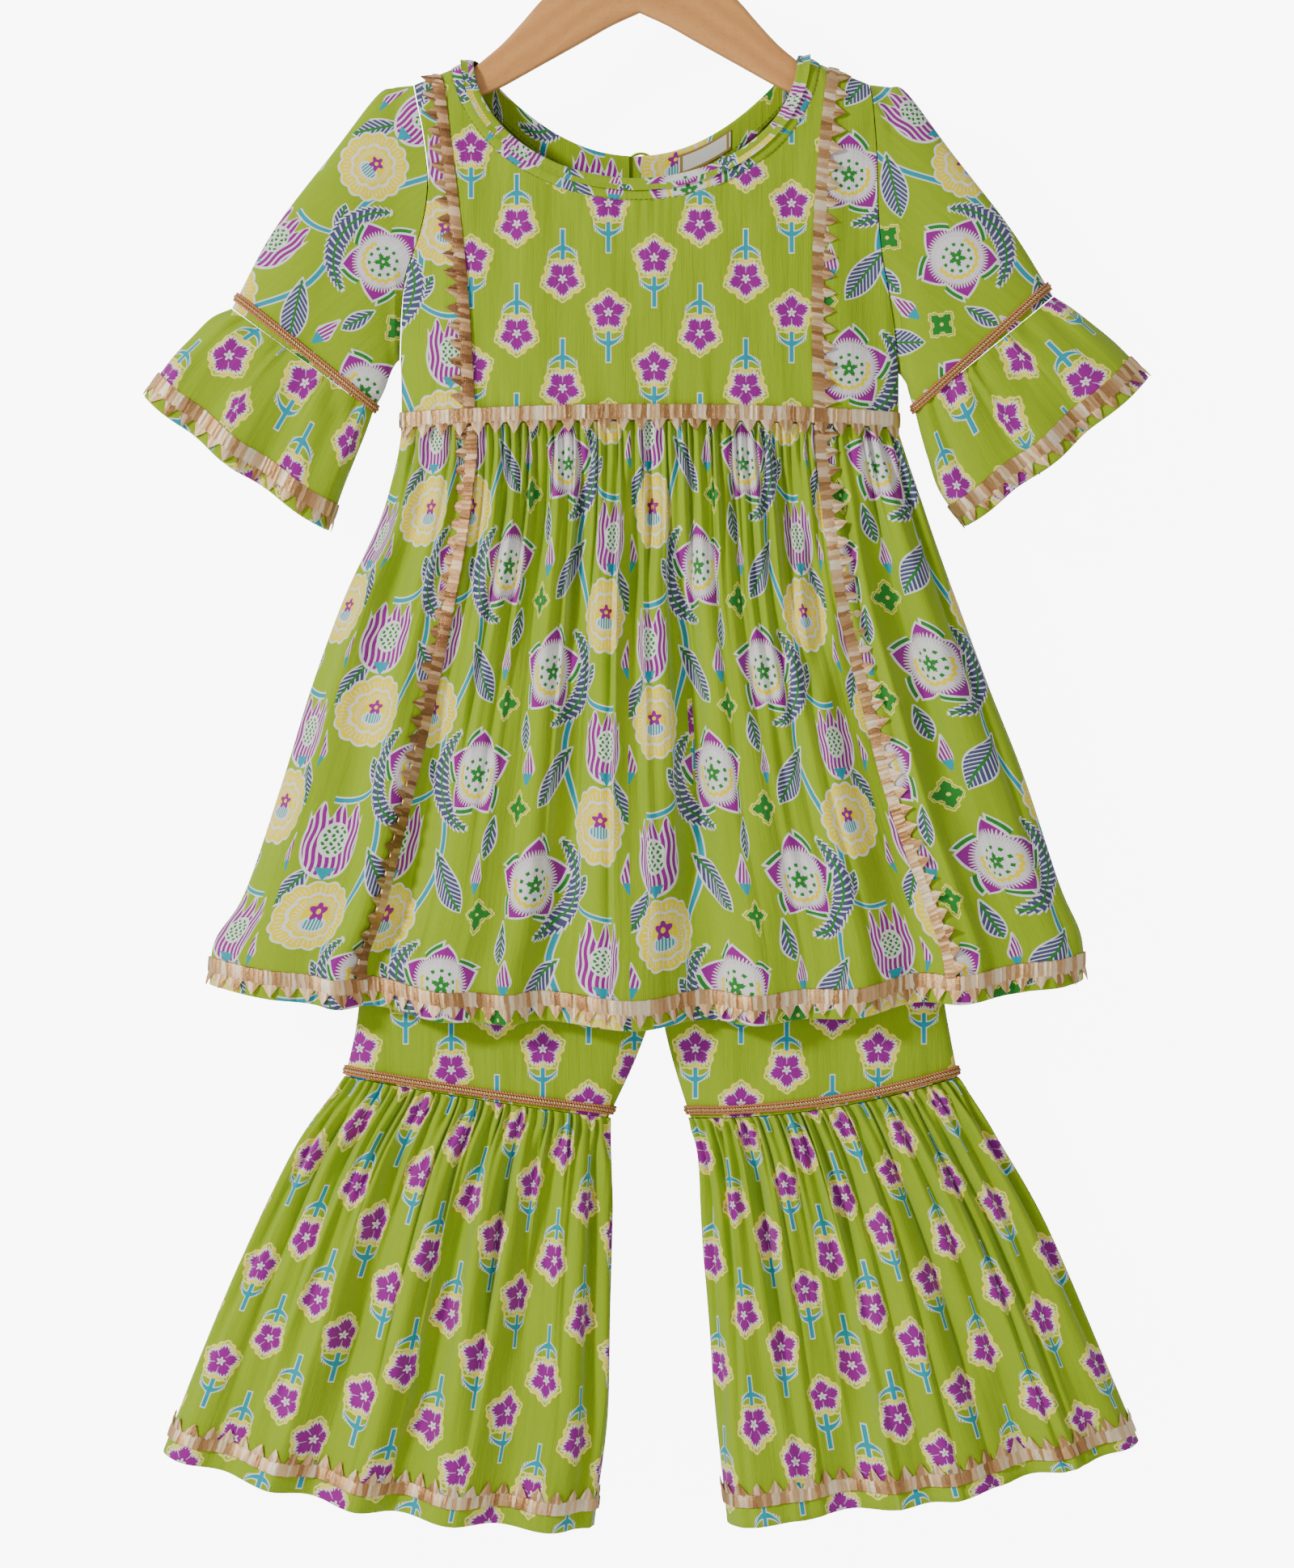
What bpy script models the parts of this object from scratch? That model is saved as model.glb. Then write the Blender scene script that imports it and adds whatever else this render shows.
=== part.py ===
"""A child's gharara suit on its wooden hanger: a kurta worn over a flared gharara.

Metres, +Z up. The garment's front faces -Y and its left in the picture is -X.
The origin is the inside top of the hanger's hook, where a rail touches it.
Tables are in millimetres. A drop is measured down from the high point of the shoulder.
"""
import math
from collections import namedtuple

import bmesh
import bpy
from mathutils import Vector

MM = 0.001

# Driving dimensions, in millimetres
HOOK_TO_SHOULDER = 125.0
CLOTH = 1.2
GATHERED_CLOTH = 1.6
TRIM = 1.0
SEAM = 0.3
ROUNDNESS = 2.8
SHOULDER_RADIUS = 9.0
WAIST_DROP = 200.0
WAIST_RISE = 4.0
NECK_CENTRE = -2.4
NECK_HALF_WIDTH = 87.3
FRONT_NECK_DEPTH = 66.4
BACK_NECK_DEPTH = 52.4
BAND_WIDTH = 11.5
FACING_WIDTH = 17.0
FACING_EASE = 0.5
LACE_WIDTH = 8.7
PIPING_WIDTH = 4.6
HEM_LACE_GAP = 6.5
RUFFLE_LACE_GAP = 5.0
LEG_LACE_GAP = 8.0
HANGER_THICKNESS = 10.0
LOOP_WIDTH = 8.0
WAISTBAND_DROP = 305.0
WAISTBAND_HEIGHT = 25.0
KNEE_INNER_DROP = 569.0

FRONT = -1
BACK = 1

# The kurta's body: its side edges and half depth at each drop
Level = namedtuple("Level", "drop centre half_width depth")
BODY = [
    Level(0.0, 0.0, 160.0, 9.4),
    Level(60.0, 1.5, 142.0, 12.4),
    Level(120.0, 3.8, 135.2, 14.6),
    Level(163.0, 5.0, 133.4, 15.6),
    Level(204.0, 5.4, 133.0, 16.5),
]

# Where the sleeve seams and the two lace lines run down the bodice
Line = namedtuple("Line", "drop x")
LEFT_ARMHOLE = [Line(15.2, -121.0), Line(24.0, -119.4), Line(40.0, -116.2), Line(53.0, -114.4),
                Line(65.0, -113.3), Line(80.0, -114.3), Line(95.5, -117.6), Line(108.0, -122.0),
                Line(119.4, -125.6), Line(140.0, -127.6), Line(165.0, -128.4)]
RIGHT_ARMHOLE = [Line(14.8, 122.8), Line(24.0, 124.5), Line(40.0, 126.0), Line(53.0, 126.8),
                 Line(65.0, 127.0), Line(80.0, 127.4), Line(95.5, 128.4), Line(108.0, 129.8),
                 Line(119.4, 131.6), Line(145.0, 135.9), Line(172.0, 138.4)]
LEFT_LACE = [Line(0.0, -110.0), Line(50.0, -103.5), Line(120.0, -95.5), Line(204.0, -90.3)]
RIGHT_LACE = [Line(0.0, 104.5), Line(56.0, 98.5), Line(100.0, 95.9), Line(143.0, 95.2),
              Line(204.0, 96.4)]
LEFT_LACE_TOP = -108.0
RIGHT_LACE_TOP = 103.0

# A flattened loop of cloth: its two ends, its half depth, and how far its middle hangs below them
Section = namedtuple("Section", "left left_drop right right_drop depth bow")
SKIRT = [
    Section(-127.6, 200.3, 138.4, 200.3, 16.5, -4.0),
    Section(-130.4, 218.0, 144.0, 218.0, 17.5, -2.5),
    Section(-139.3, 249.6, 154.5, 250.0, 19.0, 0.0),
    Section(-158.4, 290.8, 169.5, 291.0, 21.0, 4.0),
    Section(-175.8, 338.0, 187.0, 338.0, 22.5, 8.0),
    Section(-191.4, 388.4, 206.0, 386.0, 24.0, 12.0),
    Section(-211.8, 448.3, 225.0, 444.0, 25.5, 17.0),
    Section(-227.9, 474.0, 236.5, 471.0, 26.5, 20.5),
    Section(-230.9, 497.4, 237.8, 494.3, 27.0, 23.0),
]
# Where the lace lines cross each of those sections, as shares of its width
Crossing = namedtuple("Crossing", "left right")
SKIRT_LACES = [Crossing(0.140, 0.842), Crossing(0.147, 0.830), Crossing(0.157, 0.819),
               Crossing(0.174, 0.812), Crossing(0.176, 0.817), Crossing(0.170, 0.818),
               Crossing(0.166, 0.841), Crossing(0.170, 0.846), Crossing(0.177, 0.848)]

LEFT_FLARE = [
    Section(-158.4, 547.0, -15.6, 569.4, 13.0, 1.0),
    Section(-162.5, 553.4, -15.6, 577.0, 14.0, 2.0),
    Section(-184.9, 586.3, -15.6, 603.7, 16.0, 4.0),
    Section(-213.1, 645.8, -16.5, 664.0, 19.0, 7.0),
    Section(-233.9, 694.4, -17.8, 729.1, 22.0, 9.0),
    Section(-254.8, 746.9, -24.5, 788.0, 24.0, 11.0),
]
RIGHT_FLARE = [
    Section(26.0, 569.4, 170.8, 547.2, 13.0, 6.0),
    Section(28.2, 576.0, 175.0, 553.4, 14.0, 6.0),
    Section(33.0, 598.0, 188.4, 577.0, 16.0, 6.0),
    Section(36.9, 650.0, 216.6, 627.1, 19.0, 7.0),
    Section(41.2, 725.6, 250.9, 704.8, 22.0, 8.0),
    Section(46.9, 785.1, 266.7, 741.7, 24.0, 9.0),
]
# The sleeves beyond the armhole ring, which the bodice gives
LEFT_SLEEVE = [
    Section(-131.2, 16.4, -131.0, 165.0, 8.8, 0.0),
    Section(-141.0, 20.8, -133.0, 168.5, 9.4, 0.0),
    Section(-163.2, 49.5, -134.4, 172.0, 11.0, 0.0),
    Section(-196.2, 92.9, -137.4, 180.1, 12.0, 0.0),
    Section(-218.7, 135.0, -142.8, 190.1, 12.0, 0.0),
]
RIGHT_SLEEVE = [
    Section(141.0, 172.4, 133.2, 16.2, 8.8, 0.0),
    Section(143.0, 175.5, 143.2, 19.2, 9.4, 0.0),
    Section(144.2, 180.0, 167.1, 50.8, 11.0, 0.0),
    Section(145.8, 185.3, 199.2, 92.4, 12.0, 0.0),
    Section(147.3, 189.7, 221.8, 128.5, 12.0, 0.0),
]
LEFT_RUFFLE = [
    Section(-219.1, 135.3, -143.1, 190.5, 12.0, 0.0),
    Section(-229.6, 140.3, -147.1, 201.9, 13.0, 1.0),
    Section(-240.9, 151.6, -152.3, 214.7, 14.0, 2.0),
    Section(-251.7, 163.3, -159.3, 232.2, 15.0, 3.0),
    Section(-265.6, 181.8, -166.7, 253.9, 16.0, 3.0),
]
RIGHT_RUFFLE = [
    Section(147.7, 190.1, 222.2, 128.8, 12.0, 0.0),
    Section(150.6, 201.8, 231.8, 134.8, 13.0, 1.0),
    Section(154.5, 214.8, 242.6, 143.0, 14.0, 2.0),
    Section(161.0, 233.2, 256.5, 154.6, 15.0, 3.0),
    Section(174.3, 251.7, 273.0, 171.6, 16.0, 3.0),
]

# The gharara's plain upper legs: closing is 0 where both legs share one loop, 1 below the crotch
Thigh = namedtuple("Thigh", "outer outer_drop inner inner_drop depth closing bow")
LEFT_THIGH = [
    Thigh(-97.0, 330.3, 4.0, 330.3, 12.0, 0.0, 0.0),
    Thigh(-118.0, 362.0, 4.8, 362.0, 12.5, 0.0, 0.0),
    Thigh(-138.0, 410.0, 6.2, 410.0, 13.0, 0.0, 0.0),
    Thigh(-148.0, 458.0, 7.6, 458.0, 13.0, 0.15, 0.0),
    Thigh(-149.5, 486.0, 8.0, 490.0, 13.0, 0.55, 0.0),
    Thigh(-150.4, 505.0, 7.6, 512.0, 13.0, 1.0, 0.0),
    Thigh(-152.8, 524.0, -1.2, 538.0, 13.0, 1.0, 0.5),
    Thigh(-158.0, 546.6, -15.6, 569.0, 13.0, 1.0, 1.0),
]
RIGHT_THIGH = [
    Thigh(105.0, 330.3, 4.0, 330.3, 12.0, 0.0, 0.0),
    Thigh(126.0, 362.0, 4.8, 362.0, 12.5, 0.0, 0.0),
    Thigh(147.0, 410.0, 6.2, 410.0, 13.0, 0.0, 0.0),
    Thigh(158.0, 458.0, 7.6, 458.0, 13.0, 0.15, 0.0),
    Thigh(161.0, 486.0, 9.6, 490.0, 13.0, 0.55, 0.0),
    Thigh(163.2, 505.0, 10.6, 512.0, 13.0, 1.0, 1.0),
    Thigh(166.4, 524.0, 16.4, 538.0, 13.0, 1.0, 3.0),
    Thigh(170.8, 546.8, 26.0, 569.0, 13.0, 1.0, 6.0),
]

# Large folds at each hem: place as a share of the width, height towards the outside
Fold = namedtuple("Fold", "place height")
SKIRT_FRONT_FOLDS = [
    Fold(0.0, 0.0), Fold(0.084, 5.0), Fold(0.130, 2.0), Fold(0.158, 6.0), Fold(0.200, -7.0),
    Fold(0.279, 7.0), Fold(0.316, 3.0), Fold(0.344, 5.0), Fold(0.385, -5.0), Fold(0.487, 8.0),
    Fold(0.566, -7.0), Fold(0.623, 6.0), Fold(0.672, 0.0), Fold(0.728, 6.0), Fold(0.797, -7.0),
    Fold(0.853, 6.0), Fold(0.908, 1.0), Fold(0.955, 5.0), Fold(1.0, 0.0),
]
SKIRT_BACK_FOLDS = [
    Fold(0.0, 0.0), Fold(0.07, 5.0), Fold(0.14, -4.0), Fold(0.22, 7.0), Fold(0.31, -6.0),
    Fold(0.40, 7.0), Fold(0.47, -3.0), Fold(0.56, 8.0), Fold(0.65, -6.0), Fold(0.74, 6.0),
    Fold(0.82, -5.0), Fold(0.91, 6.0), Fold(1.0, 0.0),
]
LEFT_FLARE_FOLDS = [
    Fold(0.0, 0.0), Fold(0.08, 5.0), Fold(0.17, -3.0), Fold(0.27, 5.0), Fold(0.36, -4.0),
    Fold(0.46, 6.0), Fold(0.55, -5.0), Fold(0.66, 6.0), Fold(0.76, -4.0), Fold(0.87, 6.0),
    Fold(0.95, 0.0), Fold(1.0, 0.0),
]
RIGHT_FLARE_FOLDS = [
    Fold(0.0, 0.0), Fold(0.10, 7.0), Fold(0.20, 2.0), Fold(0.31, -7.0), Fold(0.42, 4.0),
    Fold(0.48, 1.0), Fold(0.55, 7.0), Fold(0.64, 0.0), Fold(0.71, -5.0), Fold(0.80, 6.0),
    Fold(0.88, 1.0), Fold(0.93, 4.0), Fold(1.0, 0.0),
]
FLARE_BACK_FOLDS = [
    Fold(0.0, 0.0), Fold(0.12, 6.0), Fold(0.26, -5.0), Fold(0.41, 6.0), Fold(0.56, -5.0),
    Fold(0.72, 7.0), Fold(0.86, -3.0), Fold(0.94, 3.0), Fold(1.0, 0.0),
]
RUFFLE_FOLDS = [
    Fold(0.0, 0.0), Fold(0.14, 2.5), Fold(0.30, -2.5), Fold(0.47, 3.0), Fold(0.63, -2.5),
    Fold(0.82, 3.0), Fold(1.0, 0.0),
]

# How far gathers open out below their seam, and the rows that a wall is built on
Tier = namedtuple("Tier", "sections settle rows fine middle")
SKIRT_TIER = Tier(SKIRT, 200.0, [0.0, 0.35, 1.4, 3.3, 5.9, 8.0], 1.1, 1.6)
LEFT_FLARE_TIER = Tier(LEFT_FLARE, 150.0, [0.0, 0.9, 2.0, 3.5, 5.0], 1.0, 1.3)
RIGHT_FLARE_TIER = Tier(RIGHT_FLARE, 150.0, [0.0, 0.9, 2.0, 3.5, 5.0], 1.0, 1.3)
LEFT_RUFFLE_TIER = Tier(LEFT_RUFFLE, 50.0, [0.0, 1.0, 2.3, 4.0], 0.9, 0.9)
RIGHT_RUFFLE_TIER = Tier(RIGHT_RUFFLE, 50.0, [0.0, 1.0, 2.3, 4.0], 0.9, 0.9)
Fade = namedtuple("Fade", "share fine middle")
FADES = [Fade(0.0, 0.55, 0.1), Fade(0.04, 1.0, 0.3), Fade(0.12, 0.9, 0.7), Fade(0.3, 0.5, 1.0),
         Fade(0.55, 0.15, 0.7), Fade(1.0, 0.0, 0.15), Fade(1.4, 0.0, 0.0)]
GATHERS_PER_MIDDLE_FOLD = 2.7
HEM_SAG = 0.35

# Gathers counted along each front seam, and fewer on the hidden backs
SKIRT_GATHERS = {"left": 5, "centre": 40, "right": 8, "back": 24}
FLARE_GATHERS = {"left": 33, "right": 35, "back": 12}
RUFFLE_GATHERS = {"front": 10, "back": 5}

# The outline of the hanger's right arm, from the middle outwards: height of its top and underside
Arm = namedtuple("Arm", "x top underside")
HANGER = [Arm(0.0, -73.0, -101.6), Arm(15.0, -73.6, -108.5), Arm(30.0, -78.0, -117.0),
          Arm(42.0, -85.6, -123.7), Arm(53.0, -95.0, -129.8), Arm(63.0, -106.5, -135.4),
          Arm(74.0, -118.4, -141.4), Arm(84.0, -127.0, -146.0), Arm(89.5, -132.0, -148.4),
          Arm(91.5, -137.4, -149.2), Arm(101.0, -138.2, -152.0), Arm(107.0, -140.0, -153.0),
          Arm(112.0, -143.2, -152.0), Arm(114.0, -147.0, -148.6)]
HOOK_WIRE = 3.4
HOOK_RADIUS = 18.7

# Colours of the materials: name, colour, roughness, metallic
Finish = namedtuple("Finish", "colour roughness metallic")
FINISHES = {
    "printed_cotton": Finish((0.32, 0.48, 0.045), 0.85, 0.0),
    "gold_ribbon": Finish((0.72, 0.47, 0.24), 0.35, 0.9),
    "beech": Finish((0.66, 0.36, 0.15), 0.45, 0.0),
    "steel": Finish((0.75, 0.75, 0.76), 0.2, 1.0),
    "tape": Finish((0.85, 0.84, 0.80), 0.8, 0.0),
    "button_shell": Finish((0.45, 0.60, 0.12), 0.35, 0.0),
}


def clear_scene():
    for thing in list(bpy.data.objects):
        bpy.data.objects.remove(thing, do_unlink=True)


def material(name):
    made = bpy.data.materials.get(name)
    if made is None:
        finish = FINISHES[name]
        made = bpy.data.materials.new(name)
        made.use_nodes = True
        shader = made.node_tree.nodes["Principled BSDF"]
        shader.inputs["Base Color"].default_value = (*finish.colour, 1.0)
        shader.inputs["Roughness"].default_value = finish.roughness
        shader.inputs["Metallic"].default_value = finish.metallic
    return made


def mix(low, high, share):
    return low + (high - low) * share


def smooth(keys, values, place):
    """A smooth curve through the values at the keys, read at one place."""
    last = len(keys) - 1
    place = min(max(place, keys[0]), keys[last])
    low = 0
    while low < last - 1 and place > keys[low + 1]:
        low += 1
    high = low + 1
    width = keys[high] - keys[low]

    def slope(index):
        before = max(index - 1, 0)
        after = min(index + 1, last)
        return (values[after] - values[before]) / (keys[after] - keys[before])

    share = (place - keys[low]) / width
    square = share * share
    cube = square * share
    return (values[low] * (2 * cube - 3 * square + 1)
            + slope(low) * width * (cube - 2 * square + share)
            + values[high] * (3 * square - 2 * cube)
            + slope(high) * width * (cube - square))


def column(table, name, place):
    """One column of a table, read at a place along the table's first column."""
    keys = [row[0] for row in table]
    return smooth(keys, [getattr(row, name) for row in table], place)


def row_between(table, place):
    """A whole row of a table, read between its numbered rows."""
    keys = list(range(len(table)))
    kind = type(table[0])
    return kind(*[smooth(keys, [row[index] for row in table], place) for index in range(len(kind._fields))])


def level(drop):
    """The height of a drop from the high point of the shoulder."""
    return -HOOK_TO_SHOULDER - drop


def flattened(share):
    """Half depth of a flattened loop at a place from -1 to 1 across it, as a share of its depth."""
    return max(0.0, 1.0 - abs(share) ** ROUNDNESS) ** (1.0 / ROUNDNESS)


def wall(name, middle, normals, faces, thickness, finish):
    """A cloth wall: its middle surface thickened both ways, with its free edges closed."""
    half = thickness / 2
    count = len(middle)
    points = [(point + normal * half) * MM for point, normal in zip(middle, normals)]
    points += [(point - normal * half) * MM for point, normal in zip(middle, normals)]
    solid_faces = [tuple(face) for face in faces]
    solid_faces += [tuple(index + count for index in reversed(face)) for face in faces]
    edges = {(face[index], face[(index + 1) % len(face)]) for face in faces for index in range(len(face))}
    for start, end in sorted(edges):
        if (end, start) not in edges:
            solid_faces.append((end, start, start + count, end + count))
    return solid(name, points, solid_faces, finish)


def solid(name, points, faces, finish):
    """A named object from points in metres, with its faces pointing out."""
    mesh = bpy.data.meshes.new(name)
    mesh.from_pydata([tuple(point) for point in points], [], faces)
    edit = bmesh.new()
    edit.from_mesh(mesh)
    bmesh.ops.recalc_face_normals(edit, faces=edit.faces)
    edit.to_mesh(mesh)
    edit.free()
    mesh.shade_smooth()
    mesh.set_sharp_from_angle(angle=math.radians(40))
    mesh.materials.append(material(finish))
    thing = bpy.data.objects.new(name, mesh)
    bpy.context.scene.collection.objects.link(thing)
    return thing


def grid_faces(rows, columns, first=0, closed=False):
    """Quads of a grid of points stored row by row; a closed grid joins its last column to its first."""
    faces = []
    for row in range(rows - 1):
        for step in range(columns if closed else columns - 1):
            after = (step + 1) % columns
            low = first + row * columns
            high = low + columns
            faces.append((low + step, high + step, high + after, low + after))
    return faces


def surface_normals(middle, faces, side):
    """Outward normals of a middle surface; along a seam in the plane y = 0 they lie in that plane."""
    sums = [Vector((0.0, 0.0, 0.0)) for _ in middle]
    for face in faces:
        first, second, third, fourth = (middle[index] for index in face)
        turn = (third - first).cross(fourth - second)
        for index in face:
            sums[index] += turn
    facing = sum(total.y for total in sums) * side
    normals = []
    for point, total in zip(middle, sums):
        normal = total if facing > 0 else -total
        if abs(point.y) < SEAM + 0.01:
            normal = Vector((normal.x, 0.0, normal.z))
        normals.append(normal.normalized())
    return normals


def sheet(name, grid, side, thickness, finish, lift=0.0):
    """A wall over a grid of points, raised off its surface by a lift."""
    middle = [point for row in grid for point in row]
    faces = grid_faces(len(grid), len(grid[0]))
    normals = surface_normals(middle, faces, side)
    raised = [point + normal * lift for point, normal in zip(middle, normals)]
    return wall(name, raised, normals, faces, thickness, finish)


def over(cloth):
    """How far trim stands off the middle of the cloth that it lies on."""
    return cloth / 2 + SEAM + TRIM / 2


# The bodice

def shoulder_drop(x):
    """The drop of the shoulder line: sloping outside the neck, level across it."""
    slope = 0.416
    left_drop, right_drop = 2.2, -0.9
    left = NECK_CENTRE - NECK_HALF_WIDTH
    right = NECK_CENTRE + NECK_HALF_WIDTH
    if x < left:
        return left_drop + (left - x) * slope
    if x > right:
        return right_drop + (x - right) * slope
    return mix(left_drop, right_drop, (x - left) / (right - left))


def body_point(x, drop, side):
    """A point of the bodice's middle surface, rolled over the hanger at the shoulder."""
    centre = column(BODY, "centre", drop)
    half_width = column(BODY, "half_width", drop)
    depth = column(BODY, "depth", drop) * flattened((x - centre) / half_width)
    below = min(max(drop - shoulder_drop(x), 0.0), SHOULDER_RADIUS)
    roll = math.sqrt(1.0 - (1.0 - below / SHOULDER_RADIUS) ** 2)
    return Vector((x, side * (SEAM + depth * roll), level(drop)))


def body_normal(x, drop, side):
    """The bodice's outward normal; along its seams in the plane y = 0 it lies in that plane."""
    point = body_point(x, drop, side)
    toward = -0.05 if x > column(BODY, "centre", drop) else 0.05
    along = (body_point(x + toward, drop, side) - point) / toward
    down = body_point(x, drop + 0.05, side) - point
    normal = along.cross(down)
    if normal.y * side < 0:
        normal = -normal
    if abs(point.y) < SEAM + 0.01:
        normal.y = 0.0
    return normal.normalized()


def body_sheet(name, grid, side, thickness, finish, lift=0.0):
    """A wall over a grid of places on the bodice, each an x and a drop, raised off it by a lift."""
    places = [place for row in grid for place in row]
    normals = [body_normal(x, drop, side) for x, drop in places]
    raised = [body_point(x, drop, side) + normal * lift for (x, drop), normal in zip(places, normals)]
    return wall(name, raised, normals, grid_faces(len(grid), len(grid[0])), thickness, finish)


def waist_drop(x):
    """The waist seam rises a little at the middle."""
    middle = BODY[-1]
    across = (x - middle.centre) / middle.half_width
    return WAIST_DROP - WAIST_RISE * (1.0 - across * across)


def neck_point(share, half_width, depth, lift=0.0):
    """A point along a rounded neckline, from the left shoulder at 0 to the right one at 1."""
    angle = math.pi * share
    x = NECK_CENTRE - half_width * math.cos(angle)
    drop = lift + depth * math.sin(angle)
    return x, max(drop, shoulder_drop(x))


def back_neck_point(share, extra=0.0):
    """A point along the flatter back neckline, or a distance below it."""
    x = NECK_CENTRE - NECK_HALF_WIDTH * math.cos(math.pi * share)
    across = (x - NECK_CENTRE) / NECK_HALF_WIDTH
    drop = extra + BACK_NECK_DEPTH * (1.0 - abs(across) ** 2.05)
    return x, max(drop, shoulder_drop(x))


BODICE_ROWS = [0.0, 0.007, 0.024, 0.05, 0.16, 0.3, 0.46, 0.62, 0.8, 1.0]
NECK_STATIONS = [0.0, 0.007, 0.022, 0.045, 0.09, 0.16, 0.24, 0.33, 0.43,
                 0.57, 0.67, 0.76, 0.84, 0.91, 0.955, 0.978, 0.993, 1.0]


def front_side(name, armhole, lace, outer_x, lace_x, seam_side):
    """A front side panel, from the armhole and side seam to the lace line."""
    grid = []
    outer_top = armhole[0].drop
    lace_top = shoulder_drop(lace_x)
    for share in BODICE_ROWS:
        outer_drop = mix(outer_top, WAIST_DROP, share)
        lace_drop = mix(lace_top, waist_drop(lace[-1].x), share)
        low = armhole[-1]
        outer = column(armhole, "x", outer_drop) if outer_drop < low.drop else outer_x(outer_drop)
        inner = column(lace, "x", lace_drop) + seam_side * SEAM / 2
        row = []
        for step in range(4):
            across = step / 3
            x = mix(outer, inner, across)
            drop = max(mix(outer_drop, lace_drop, across), shoulder_drop(x))
            if share == 1.0:
                drop = waist_drop(x)
            row.append((x, drop))
        grid.append(row)
    return body_sheet(name, grid, FRONT, CLOTH, "printed_cotton")


def side_edge(direction):
    """The side edge of the bodice below the arm, as a function of the drop."""
    def edge(drop):
        return column(BODY, "centre", drop) + direction * column(BODY, "half_width", drop)
    return edge


def front_centre():
    """The middle front panel, from the shoulders and the neck band down to the waist."""
    outline = []
    left_start, right_start = shoulder_drop(LEFT_LACE_TOP), shoulder_drop(RIGHT_LACE_TOP)
    left_top = column(LEFT_LACE, "x", left_start) + SEAM / 2
    right_top = column(RIGHT_LACE, "x", right_start) - SEAM / 2
    neck = [neck_point(share, NECK_HALF_WIDTH + BAND_WIDTH + SEAM, FRONT_NECK_DEPTH + BAND_WIDTH + SEAM)
            for share in NECK_STATIONS]
    outline.append((left_top, shoulder_drop(left_top)))
    outline.append((mix(left_top, neck[0][0], 0.5), shoulder_drop(mix(left_top, neck[0][0], 0.5))))
    outline += neck
    outline.append((mix(right_top, neck[-1][0], 0.5), shoulder_drop(mix(right_top, neck[-1][0], 0.5))))
    outline.append((right_top, shoulder_drop(right_top)))
    low_left = LEFT_LACE[-1].x + SEAM / 2
    low_right = RIGHT_LACE[-1].x - SEAM / 2
    lengths = [0.0]
    for start, end in zip(outline, outline[1:]):
        lengths.append(lengths[-1] + abs(end[0] - start[0]) + 0.3 * abs(end[1] - start[1]))
    grid = []
    for share in BODICE_ROWS:
        left_drop = mix(left_start, waist_drop(LEFT_LACE[-1].x), share)
        right_drop = mix(right_start, waist_drop(RIGHT_LACE[-1].x), share)
        left_bulge = column(LEFT_LACE, "x", left_drop) + SEAM / 2 - mix(left_top, low_left, share)
        right_bulge = column(RIGHT_LACE, "x", right_drop) - SEAM / 2 - mix(right_top, low_right, share)
        row = []
        for (top_x, top_drop), length in zip(outline, lengths):
            across = length / lengths[-1]
            low_x = mix(low_left, low_right, across)
            drop = mix(top_drop, waist_drop(low_x), share)
            x = mix(top_x, low_x, share)
            x += left_bulge * max(0.0, 1.0 - 6 * across) + right_bulge * max(0.0, 6 * across - 5.0)
            row.append((x, max(drop, shoulder_drop(x))))
        grid.append(row)
    return body_sheet("bodice_front_centre", grid, FRONT, CLOTH, "printed_cotton")


def neck_band():
    """The band set into the front neckline, from shoulder seam to shoulder seam."""
    grid = []
    for widths in (0.0, 0.5, 1.0):
        row = []
        for share in NECK_STATIONS:
            extra = BAND_WIDTH * widths
            row.append(neck_point(share, NECK_HALF_WIDTH + extra, FRONT_NECK_DEPTH + extra))
        grid.append(row)
    return body_sheet("neck_band_front", grid, FRONT, CLOTH, "printed_cotton")


# The keyhole at the middle of the back: place down the panel and half width
Slit = namedtuple("Slit", "share half_width")
KEYHOLE = [Slit(0.0, 0.25), Slit(0.05, 0.25), Slit(0.09, 3.0), Slit(0.2, 3.2), Slit(0.3, 2.2),
           Slit(0.4, 0.25)]
BACK_ROWS = [0.0, 0.007, 0.024, 0.05, 0.09, 0.2, 0.3, 0.4, 0.6, 0.8, 1.0]
BACK_COLUMNS = 20


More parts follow.
